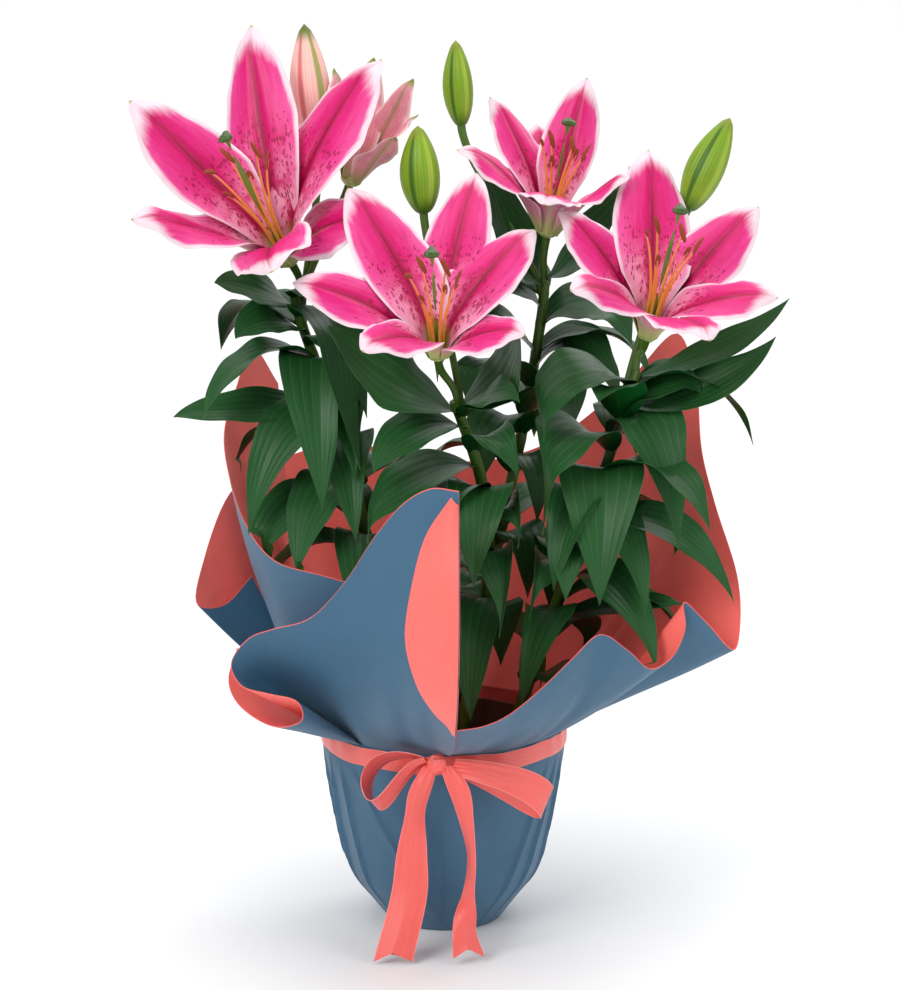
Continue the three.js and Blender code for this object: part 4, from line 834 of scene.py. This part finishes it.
BLOOMS = {
    "left": {
        "foot": [-105, 4, 470], "axis": [-0.38, -0.5, 0.78], "stigma": [-146, -50, 565],
        "tepals": [
            [-46, 18, 612, 68, 0.4, 0.4, 0], [-52, -42, 509, 58, 0.8, 0.5, 10],
            [-114, -106, 484, 62, 0.8, 0.8, 0], [-202, -82, 518, 54, 0.6, 0.9, -28],
            [-211, -12, 585, 60, 0.4, 0.4, 0], [-137, 42, 632, 58, 0.3, 0.5, 0],
        ],
    },
    "centre": {
        "foot": [-4, -60, 416], "axis": [-0.03, -0.56, 0.83], "stigma": [-8, -108, 496],
        "tepals": [
            [-64, -30, 529, 54, 0.4, 0.4, 0], [22, 0, 538, 46, 0.4, 0.6, 0],
            [61, -40, 502, 50, 0.5, 0.4, 0], [52, -118, 446, 44, 0.8, 0.4, 0],
            [-52, -144, 438, 48, 0.8, 0.4, 0], [-99, -88, 474, 44, 0.6, 0.5, -20],
        ],
    },
    "back": {
        "foot": [72, 45, 483], "axis": [0.15, -0.3, 0.94], "stigma": [86, 14, 568],
        "tepals": [
            [34, 75, 579, 39, 0.4, 0.4, 0], [67, 92, 560, 35, 0.6, 0.3, 0],
            [100, 70, 592, 42, 0.3, 0.3, 0], [125, 3, 534, 38, 0.9, 0.4, 15],
            [68, -45, 520, 46, 0.9, 0.3, 0], [12, 10, 552, 39, 0.8, 0.4, -15],
        ],
    },
    "right": {
        "foot": [139, -20, 422], "axis": [0.16, -0.46, 0.87], "stigma": [158, -60, 518],
        "tepals": [
            [143, 34, 547, 58, 0.3, 0.3, 0], [214, -5, 514, 53, 0.5, 0.5, 0],
            [222, -74, 461, 46, 0.7, 0.5, 20], [174, -128, 446, 48, 0.8, 0.4, 0],
            [85, -98, 470, 48, 0.8, 0.4, -10], [81, -22, 513, 46, 0.6, 0.5, -10],
        ],
    },
    "opening": {
        "foot": [-66, 35, 520], "axis": [0.32, -0.1, 0.94],
        "tepals": [
            [-48, 64, 606, 30, 0.1, 0.4, 0], [-24, 48, 594, 28, 0.1, 0.3, 0],
            [-19, 26, 571, 30, 0.2, 0.3, 0], [-34, 6, 560, 28, 0.6, 0.5, 0],
            [-62, 17, 589, 28, 0.1, 0.3, 0], [-72, 48, 600, 28, 0.1, 0.3, 0],
        ],
    },
}
BUDS = {
    "tall": ([12, 50, 560], [8, 50, 619], 11.2, "bud"),
    "middle": ([-14, 10, 504], [-18, 12, 564], 14.6, "bud"),
    "right": ([169, 28, 504], [198, 34, 567], 14.2, "bud"),
    "blush": ([-88, 50, 543], [-97, 54, 630], 15, "blush"),
}
STALKS = {
    "left": [(BLOOMS, "left", 440), (BUDS, "blush", 428), (BLOOMS, "opening", 434)],
    "centre": [(BLOOMS, "centre", 378), (BUDS, "middle", 370)],
    "right": [(BLOOMS, "right", 396), (BUDS, "right", 364)],
    "back": [(BLOOMS, "back", 443), (BUDS, "tall", 434)],
}


def flower_stalk(stem, flowers, key, height):
    """A flower stalk: a Bezier line that leaves the stem upwards at that height and arrives along the
    axis of its bloom or bud, just inside its foot."""
    if flowers is BUDS:
        foot, tip = np.array(BUDS[key][:2])
        axis, reach = unit((tip - foot).astype(float)), 60
    else:
        foot, reach = np.array(BLOOMS[key]["foot"]), 46
        axis = unit(np.array(BLOOMS[key]["axis"], float))
    start, end = stem_at(stem, height), foot + 0.4 * axis
    t = np.linspace(0, 1, 26)[:, None]
    line = bend(start, start + [0, 0, reach * 0.5], end - axis * reach * 0.5, end, t)
    return stalk(line, 2.5 + 0.6 * t[:, 0] ** 4)


for number, name in enumerate(STEMS):
    levels = np.linspace(BULB_LEVEL - 1, STEMS[name][-2][2], 90)
    knuckle = 0.25 * np.sin(levels * 0.9) ** 8
    skins = [stalk(stem_at(name, levels), stem_radius(name, levels) + knuckle, 20)]
    for k, row in enumerate([*PLACED_LEAVES[name], *spiral_leaves(name)]):
        skins.append(leaf(name, *row, seed=100 * number + k))
    skins += [flower_stalk(name, *row) for row in STALKS[name]]
    piece(f"stem_and_leaves_{name}", skins, [leaf_green, stem_green], "leaf", f"leafy_stem_{name}")

# The open blooms. Each lily bloom is six waxy tepals in two rings of three on one receptacle, pink
# with a crimson rib, white margins and dark raised spots; they part from a short green throat.

THROAT = 5
CLAW_WIDTH = 6
CLAW_TILT = 16
LAYER = 1.5
INNER_RING = 5.7
OUTER_RING = 6.9


def ease(t, low, high):
    """Goes smoothly from 0 to 1 while t goes from low to high."""
    u = np.clip((t - low) / (high - low), 0, 1)
    return u * u * (3 - 2 * u)


def tepal(bloom, row, index, seed):
    """A tepal. Its rib is a Bezier line that climbs out of the throat beside the bloom's axis and bends
    out towards its tip. Low down the blade follows a circle round the axis; where it is free it
    is flat with reflexed margins, a channel along the rib and two lengths of waves at its edges.
    Its width is 3.03 (t + 0.02)^0.85 (1 - t)^0.8 of the widest."""
    draw = np.random.default_rng(seed)
    phase, tone = draw.uniform(0, 6.28), draw.uniform()
    x, y, z, width, curl, wave, twist = row
    axis = unit(np.array(bloom["axis"], float))
    foot = np.array(bloom["foot"]) + axis * (THROAT - 2)
    outer, tip = index % 2 == 1, np.array([x, y, z], float)
    chord = tip - foot
    out = unit(chord - axis * (chord @ axis))
    across = np.cross(axis, out)
    start = foot + out * (OUTER_RING if outer else INNER_RING)
    length = np.linalg.norm(tip - start)
    slope = math.acos(unit(tip - start) @ axis)
    claw = math.radians(CLAW_TILT)
    last = slope + curl * (slope - claw)
    first, final = (axis * math.cos(a) + out * math.sin(a) for a in (claw, last))
    t = np.linspace(0, 1, 44)
    rib = bend(start, start + first * 0.36 * length, tip - final * 0.36 * length, tip, t[:, None])
    heart = foot + axis * ((rib - foot) @ axis)[:, None]
    rho = np.linalg.norm(rib - heart, axis=1)[:, None, None]
    forward = unit(np.gradient(rib, axis=0))
    free = ease(t, 0.3, 0.85)
    side = turn_about(np.broadcast_to(across, rib.shape), forward, math.radians(twist) * free)
    inward = unit(np.cross(forward, side))
    share = 3.03 * (t + 0.02) ** 0.85 * (1 - t) ** 0.8
    full = np.maximum(np.where(t < 0.5, CLAW_WIDTH, 0.3), width * share)[:, None, None] / 2
    half = np.minimum(full, 0.9 * rho)
    s = np.linspace(-1, 1, 21)[None, :, None]
    t, free = t[:, None, None], free[:, None, None]
    angle = s * half / rho
    circle = heart[:, None] + rho * (out * np.cos(angle) + across * np.sin(angle))
    level = rib[:, None] + side[:, None] * s * half
    behind = LAYER * (-1 if outer else 1) * ease(t, 0, 0.2)
    channel = -0.13 * half * np.exp(-((s / 0.16) ** 2)) * (1 - 0.5 * t)
    reflex = -0.3 * half * s**2 * ease(t, 0.3, 0.8)
    swell = s**2 * np.sin(np.pi * t)
    ripple = 3 * wave * swell * np.sin(8 * t + 2.1 * index + 1.3 * s)
    ripple += 0.035 * width * np.abs(s) ** 3 * free * (1 - t**4) * np.sin(26 * t + phase + 3 * np.sign(s))
    ripple += 0.012 * width * s**4 * free * (1 - t**4) * np.sin(55 * t + 2 * phase + np.sign(s))
    hook = 0.05 * length * ease(t, 0.86, 1.0) ** 2
    shift = behind + channel + reflex + ripple - hook
    surface = circle * (1 - free) + level * free + inward[:, None] * shift
    thick = 0.3 + (0.8 + 0.9 * np.exp(-((s / 0.2) ** 2))) * np.sqrt(1 - s**2) * (1 - 0.6 * t)
    rings, place, flat, kind = slab(surface, thick[..., 0], tone)
    if np.sum(unit(facing(surface))[:, 8:13] * inward[:, None]) < 0:
        place = place * [1, 1, -1] + [0, 0, 1]
    return rings, place, flat, kind


PETAL_FINISH = {"Specular_IOR_Level": 0.35, "Subsurface_Radius": (0.004, 0.0015, 0.0015)}
petal, shader = material("pink and white tepal", 0.4, Subsurface_Weight=0.06, **PETAL_FINISH)
across, along, face, flat_place = on_blade(shader)
off = abs(across - 0.5) * 2.0
streaks = put("ShaderNodeMapping", {"Vector": flat_place, "Scale": (1.0, 0.16, 1.0)})
cloud = noise(flat_place, 0.09, 4.0)
ragged = noise(streaks, 0.42, 3.0) - 0.5
line, height = veins(across, along, 9.0, 0.2, 0.02)
fine_line, fine_height = veins(across, along, 34.0, 0.5, 0.01)
pink = mixed(cloud, (204, 0, 94), (232, 22, 134))
pink = mixed(step_up(off + ragged * 0.5, 0.2, 1.0) * 0.75, pink, (240, 84, 166))
pink = mixed(fine_line * 0.4, pink, (176, 2, 82))
low_pale = step_up(along, 0.55, 0.2) * step_up(off, 0.06, 0.4) * step_up(cloud, 0.25, 0.6)
pink = mixed(low_pale * 0.8, pink, (250, 188, 214))
rib_wide = off + (along * 0.1 + ragged * 0.3)
pink = mixed(step_up(rib_wide, 0.36, 0.0) * 0.85, pink, (160, 0, 58))
rib_line = step_up(off, 0.05, 0.015) * step_up(along, 0.85, 0.6)
pink = mixed(rib_line * 0.7, pink, (118, 0, 40))
margin = step_up(off + along * 0.2 + ragged * 0.1, 0.94, 1.06)
tip_white = step_up(along + (ragged * 0.09 + off * 0.12), 0.88, 1.0)
inner = mixed(margin.maths("MAXIMUM", tip_white), pink, (228, 206, 215))
inner = mixed(step_up(along, 0.985, 0.996), inner, (184, 178, 92))
spot_place = put("ShaderNodeMapping", {"Vector": flat_place, "Scale": (1.0, 0.5, 0.0)})
dots = put("ShaderNodeTexVoronoi", {"Vector": spot_place, "Scale": 0.52, "Randomness": 0.8})
reach = step_up(along, 0.74, 0.5) * step_up(along, 0.07, 0.16) * step_up(off, 0.95, 0.7)
size = (split(dots["Color"])[0] * 0.34 + 0.17) * reach
dot = step_up(dots["Distance"] - size, 0.06, -0.02) * face * step_up(reach, 0.2, 0.5)
inner = mixed(dot * 0.85, inner, (158, 0, 64))
nectary = step_up(along, 0.2, 0.04) * step_up(off, 0.75, 0.1)
inner = mixed(nectary, inner, (160, 176, 40))
outer = mixed(cloud, (228, 112, 162), (246, 172, 200))
outer = mixed(line * 0.35, outer, (214, 70, 140))
outer = mixed(step_up(off, 0.22, 0.02) * 0.7, outer, (222, 206, 170))
outer = mixed(margin * 0.8, outer, (252, 236, 242))
outer = mixed(step_up(along, 0.3, 0.02), outer, (200, 206, 130))
feed(shader, Base_Color=mixed(face, outer, inner))
raise_by(shader, height * 0.4 + fine_height * 0.1 + dot * 0.3, 0.001, 0.7)

receptacle_green = mottled("pale green receptacle", 0.45, 120, (150, 172, 84), (206, 214, 148))[0]


def in_bloom(bloom, angle, out, height):
    """Points in a bloom's own frame, at heights up its spine and distances out at angles. The spine
    leaves the throat along the axis and ends at the stigma: a quadratic Bezier line."""
    axis, foot = unit(np.array(bloom["axis"], float)), np.array(bloom["foot"], float)
    u = unit(np.cross(axis, [1.0, 0, 0]))
    v = np.cross(axis, u)
    angle, out, height = (q[..., None] * 1.0 for q in np.broadcast_arrays(angle, out, height))
    spread = out * (u * np.cos(angle) + v * np.sin(angle))
    straight = foot + axis * height
    if "stigma" not in bloom:
        return straight + spread
    start, end = foot + axis * THROAT, np.array(bloom["stigma"], float)
    length = np.linalg.norm(end - start)
    t = np.clip((height - THROAT) / length, 0, 1)
    spine = (1 - t) ** 2 * start + 2 * (1 - t) * t * (start + axis * length * 0.55) + t**2 * end
    return np.where(height > THROAT, spine, straight) + spread


def receptacle(bloom):
    """The short swollen end of the stalk that the tepals grow from."""
    straight = {"axis": bloom["axis"], "foot": bloom["foot"]}
    t = np.linspace(0, 1, 12)[:, None]
    angle = turn_in(24)
    radius = 3.4 + 4.4 * np.sin(0.5 * np.pi * t) ** 0.8 + 0.25 * np.cos(6 * angle) * t
    rings = in_bloom(straight, angle, radius, THROAT * t)
    return rings, round_place(angle, 0.02 * t), rings, 1


def tepals(name, finish, slot, seed):
    """The six tepals of a bloom and its receptacle, as one piece."""
    bloom = BLOOMS[name]
    skins = [tepal(bloom, row, k, seed + k) for k, row in enumerate(bloom["tepals"])]
    skins.append(receptacle(bloom))
    piece(f"tepals_{name}", skins, [finish, receptacle_green], slot, f"bloom_{name}_tepals")


OPEN_BLOOMS = [name for name, bloom in BLOOMS.items() if "stigma" in bloom]
for number, name in enumerate(OPEN_BLOOMS):
    tepals(name, petal, "petal", 40 * number)

# The flower hearts. In each open bloom a green pistil, whose long style ends in a three-lobed stigma,
# and six slim stamens that lean out round it, each with a long rust-coloured anther at its end.

pistil_green = mottled("green pistil", 0.4, 90, (58, 100, 24), (120, 150, 54))[0]
stigma_brown = mottled("sticky stigma", 0.3, 300, (34, 62, 20), (76, 104, 38))[0]
anther, shader, dust = mottled("pollen on the anther", 0.9, 1400, (110, 40, 22), (176, 84, 44), 5.0)
raise_by(shader, dust, 0.0005)
filament, shader = material("orange filament", 0.45, Subsurface_Weight=0.1)
along = on_blade(shader)[1]
warm = mixed(step_up(along, 0.0, 0.55), (190, 186, 60), (236, 150, 66))
feed(shader, Base_Color=mixed(step_up(along, 0.5, 1.0), warm, (232, 128, 96)))


def pistil(bloom, height):
    """The pistil: a profile of radius and height turned round the bloom's spine, with three lobes on
    its ovary, and a three-lobed stigma at its end."""
    angle, low = turn_in(24), THROAT + 0.3
    end = height - low - 4
    levels, radii = [0, 2, 4, 10, 18, 24, end - 5, end], [3.6, 4.0, 2.7, 2.6, 2.2, 1.2, 1.2, 2.2]
    level = np.linspace(0, end, 60)[:, None]
    radius = through(levels, radii, level[:, 0]) * (1 + 0.08 * np.cos(3 * angle) * (level < 22))
    style = in_bloom(bloom, angle, radius, low + level)
    t = np.linspace(0, 1, 14)[:, None]
    head = (1.2 + 3.4 * np.sin(np.pi * (0.15 + 0.7 * t)) ** 0.7) * (1 + 0.25 * np.cos(3 * angle))
    stigma = in_bloom(bloom, angle, head, height - 4.5 + 4.5 * t)
    return [
        (style, round_place(angle, level / height), style, 0),
        (stigma, round_place(angle, t), stigma, 3),
    ]


def stamen(bloom, height, k):
    """A stamen. Its filament runs smoothly through four points beside the spine and thins upwards; its
    anther is an ellipsoid 14 mm long with a furrow down each side, hung by its middle."""
    a, top, wide = math.pi / 3 * (k + 0.5), height * (0.8 + 0.05 * math.sin(2.4 * k)), height * 0.19
    points = [(3.1, THROAT + 0.9), (6, top * 0.45), (wide * 0.76, top - 14), (wide * 0.92, top - 7)]
    share = np.linspace(0, 1, 30)
    line = in_bloom(bloom, a, *through([0, 0.42, 0.86, 1], points, share).T)
    end = line[-1]
    along = unit(end - line[-6])
    side = unit(np.cross(along, in_bloom(bloom, a, 5, top) - in_bloom(bloom, a, 0, top)))
    tilt = 0.25 + 0.5 * math.sin(1.7 * k)
    axis = unit(along * math.cos(tilt) + side * math.sin(tilt))
    u = unit(np.cross(axis, side + 0.01))
    v = np.cross(axis, u)
    t, angle = np.linspace(0.01, 0.99, 22)[:, None], turn_in(16)
    oval = 1 - (2 * t - 1) ** 2
    round_it = np.sqrt(np.clip(oval, 0.01, 1)) ** 0.8
    forward = 1.3 * round_it * np.cos(angle) * (1 - 0.2 * np.abs(np.cos(angle)) ** 6) + 0.8 * oval
    sideways = 1.9 * round_it * np.sin(angle)
    anther_rings = end + axis * (t - 0.5)[..., None] * 14 + u * forward[..., None] + v * sideways[..., None]
    return [
        stalk(line, 1.45 - 0.75 * share**0.6, 10),
        (anther_rings, round_place(angle, t), anther_rings, 2),
    ]


for name in OPEN_BLOOMS:
    bloom = BLOOMS[name]
    height = np.linalg.norm(np.subtract(bloom["stigma"], bloom["foot"]))
    skins = pistil(bloom, height)
    for k in range(6):
        skins += stamen(bloom, height, k)
    finishes = [pistil_green, filament, anther, stigma_brown]
    piece(f"heart_{name}", skins, finishes, "stamen", f"bloom_{name}_pistil_and_stamens")

# The half-open bloom. A sixth flower at the upper left whose tepals have only begun to part; they
# are pale pink with green along the rib, and still cup round each other.

blush, shader = material("pale opening tepal", 0.42, Subsurface_Weight=0.08, **PETAL_FINISH)
across, along, face, flat_place = on_blade(shader)
off = abs(across - 0.5) * 2.0
line, height = veins(across, along, 12.0, 0.3, 0.02)
rose = mixed(noise(flat_place, 0.15, 4.0), (232, 128, 158), (250, 194, 198))
rose = mixed(line * 0.4, rose, (206, 96, 118))
rose = mixed(step_up(off, 0.7, 1.0), rose, (252, 226, 222))
rose = mixed(step_up(off, 0.3, 0.0) * 0.6, rose, (146, 158, 60))
rose = mixed(step_up(along, 0.35, 0.0), rose, (170, 176, 108))
feed(shader, Base_Color=mixed(step_up(along, 0.88, 1.0), rose, (128, 146, 40)))
raise_by(shader, height, 0.0008, 0.7)
tepals("opening", blush, "blush", 300)

# The buds. Closed lily buds: six tepals shut into a spindle with three broad ridges and a furrow
# between each two, green with pale stripes, and one that has begun to turn pink.


def bud_skin(foot, tip, radius):
    """A bud: a spindle whose radius is 0.24 + 0.78 sin(pi t^0.9)^0.75 - 0.16 t of its greatest, with
    three ridges round it and finer furrows where the tepals meet; it narrows to a blunt tip."""
    axis = np.subtract(tip, foot).astype(float)
    length = np.linalg.norm(axis)
    axis /= length
    u = unit(np.cross(axis, [0, 1.0, 0]))
    v = np.cross(axis, u)
    t, angle = np.linspace(0, 1, 60)[:, None], turn_in(72)
    swell = 0.24 + 0.78 * np.sin(np.pi * t**0.9) ** 0.75 - 0.16 * t
    close = np.minimum(1, np.sqrt(np.clip((1 - t) / 0.05, 0.02, 1)))
    furrow = 0.05 * np.exp(-((np.sin(1.5 * angle) / 0.12) ** 2))
    seam = np.sin(np.pi * t) * (0.07 * np.cos(3 * angle) - furrow + 0.015 * np.cos(12 * angle))
    r = (radius * swell * close * (1 + seam))[..., None]
    round_it = u * np.cos(angle)[..., None] + v * np.sin(angle)[..., None]
    rings = foot + (axis * length * t)[:, None] + round_it * r
    return rings, round_place(angle, t), joined(angle * radius, t * length, 0.5), 0


def bud_finish(name, pale, deep, seam, stripe, end, tip_end):
    """A bud's skin: mottled between two colours, darker in the furrows where the tepals meet, with a
    stripe along the ridge of each tepal, fine veins, and other colours at its foot and tip."""
    made, shader = material(name, 0.38, Subsurface_Weight=0.05, Specular_IOR_Level=0.35)
    across, along = on_blade(shader)[:2]
    line, height = veins(across, along, 36.0, 0.5, 0.01)
    wave = (across * (6 * math.pi)).maths("COSINE")
    tint = mixed(noise(object_place(shader), 40), deep, pale)
    layers = [
        (line * 0.25, seam),
        (step_up(wave, -0.8, -0.99), seam),
        (step_up(wave, 0.8, 0.97) * 0.8, stripe),
        (step_up(along, 0.2, 0.0), end),
        (step_up(along, 0.82, 0.97), tip_end),
    ]
    for share, colour in layers:
        tint = mixed(share, tint, colour)
    feed(shader, Base_Color=tint)
    raise_by(shader, height, 0.0006, 0.5)
    return made


BUD_FINISHES = {
    "bud": bud_finish("green bud", (140, 172, 36), (104, 146, 20), (62, 104, 14), (158, 184, 60),
                      (70, 112, 20), (128, 146, 44)),
    "blush": bud_finish("bud that turns pink", (255, 222, 206), (244, 182, 170), (210, 120, 120),
                        (128, 152, 40), (150, 166, 84), (88, 112, 24)),
}
for name, (foot, tip, radius, slot) in BUDS.items():
    piece(f"closed_bud_{name}", [bud_skin(foot, tip, radius)], [BUD_FINISHES[slot]], slot, f"bud_{name}")

# The studio. A plain pale floor that sweeps up into a wall behind, large soft lights in front, at
# the side, above and behind, and the camera at the photograph's height and distance.

SWEEP_START = 1.6
SWEEP_RADIUS = 1.2
floor_paint = mottled("pale studio floor", 0.8, 3, (244, 244, 244), (250, 250, 250))[0]
arc = np.linspace(0, np.pi / 2, 40)
depth = np.array([-7, *(SWEEP_START + SWEEP_RADIUS * np.sin(arc)), SWEEP_START + SWEEP_RADIUS])
level = np.array([0, *(SWEEP_RADIUS * (1 - np.cos(arc))), 5]) - 0.0005
grid = joined([[-7, 7]], depth[:, None], level[:, None])
index = np.arange(2 * len(depth)).reshape(-1, 2)
quads = np.stack([index[:-1, 0], index[:-1, 1], index[1:, 1], index[1:, 0]], -1)
mesh = bpy.data.meshes.new("studio_floor")
mesh.from_pydata(grid.reshape(-1, 3).tolist(), [], quads.tolist())
mesh.materials.append(floor_paint)
mesh.shade_smooth()
studio_floor = bpy.data.objects.new("studio_floor", mesh)
bpy.context.scene.collection.objects.link(studio_floor)


def aimed(thing, name, place, target):
    """An object for a light or camera, put at a place and turned to look at the target."""
    made = bpy.data.objects.new(name, thing)
    place, target = map(np.array, (place, target))
    back = unit((place - target).astype(float))
    right = unit(np.cross([0, 0, 1.0], back))
    up = np.cross(back, right)
    matrix = np.eye(4)
    matrix[:3] = np.stack([right, up, back, place], 1)
    made.matrix_world = Matrix(matrix.tolist())
    bpy.context.scene.collection.objects.link(made)
    return made


PLANT_MIDDLE = (0, 0, 0.33)


def soft_light(name, place, size, power):
    """A square softbox aimed at the plant."""
    lamp = bpy.data.lights.new(name, "AREA")
    lamp.energy, lamp.size = power, size
    aimed(lamp, name, place, PLANT_MIDDLE)


soft_light("key_softbox", (-1.6, -2.2, 2.0), 1.5, 48)
soft_light("fill_softbox", (2.2, -1.8, 1.2), 1.6, 18)
soft_light("top_softbox", (0, 0.3, 3.0), 3.0, 62)
soft_light("back_softbox", (1.1, 1.2, 1.6), 1.0, 8)
world = bpy.data.worlds.new("studio")
world.use_nodes = True
world.node_tree.nodes["Background"].inputs["Color"].default_value = (1, 1, 1, 1)
world.node_tree.nodes["Background"].inputs["Strength"].default_value = 0.4
bpy.context.scene.world = world
bpy.context.scene.view_settings.view_transform = "Standard"

CAMERA_TARGET = np.array([0.0042, 0.0, 0.307])
CAMERA_DISTANCE = 2.2
CAMERA_TILT = math.radians(13)
VIEW_HEIGHT = 0.693
lens = bpy.data.cameras.new("camera")
lens.sensor_width = 36
lens.lens = 36 * CAMERA_DISTANCE / VIEW_HEIGHT
lens.clip_end = 30
away = np.array([0, -math.cos(CAMERA_TILT), math.sin(CAMERA_TILT)])
camera = aimed(lens, "camera", CAMERA_TARGET + CAMERA_DISTANCE * away, CAMERA_TARGET)
bpy.context.scene.camera = camera
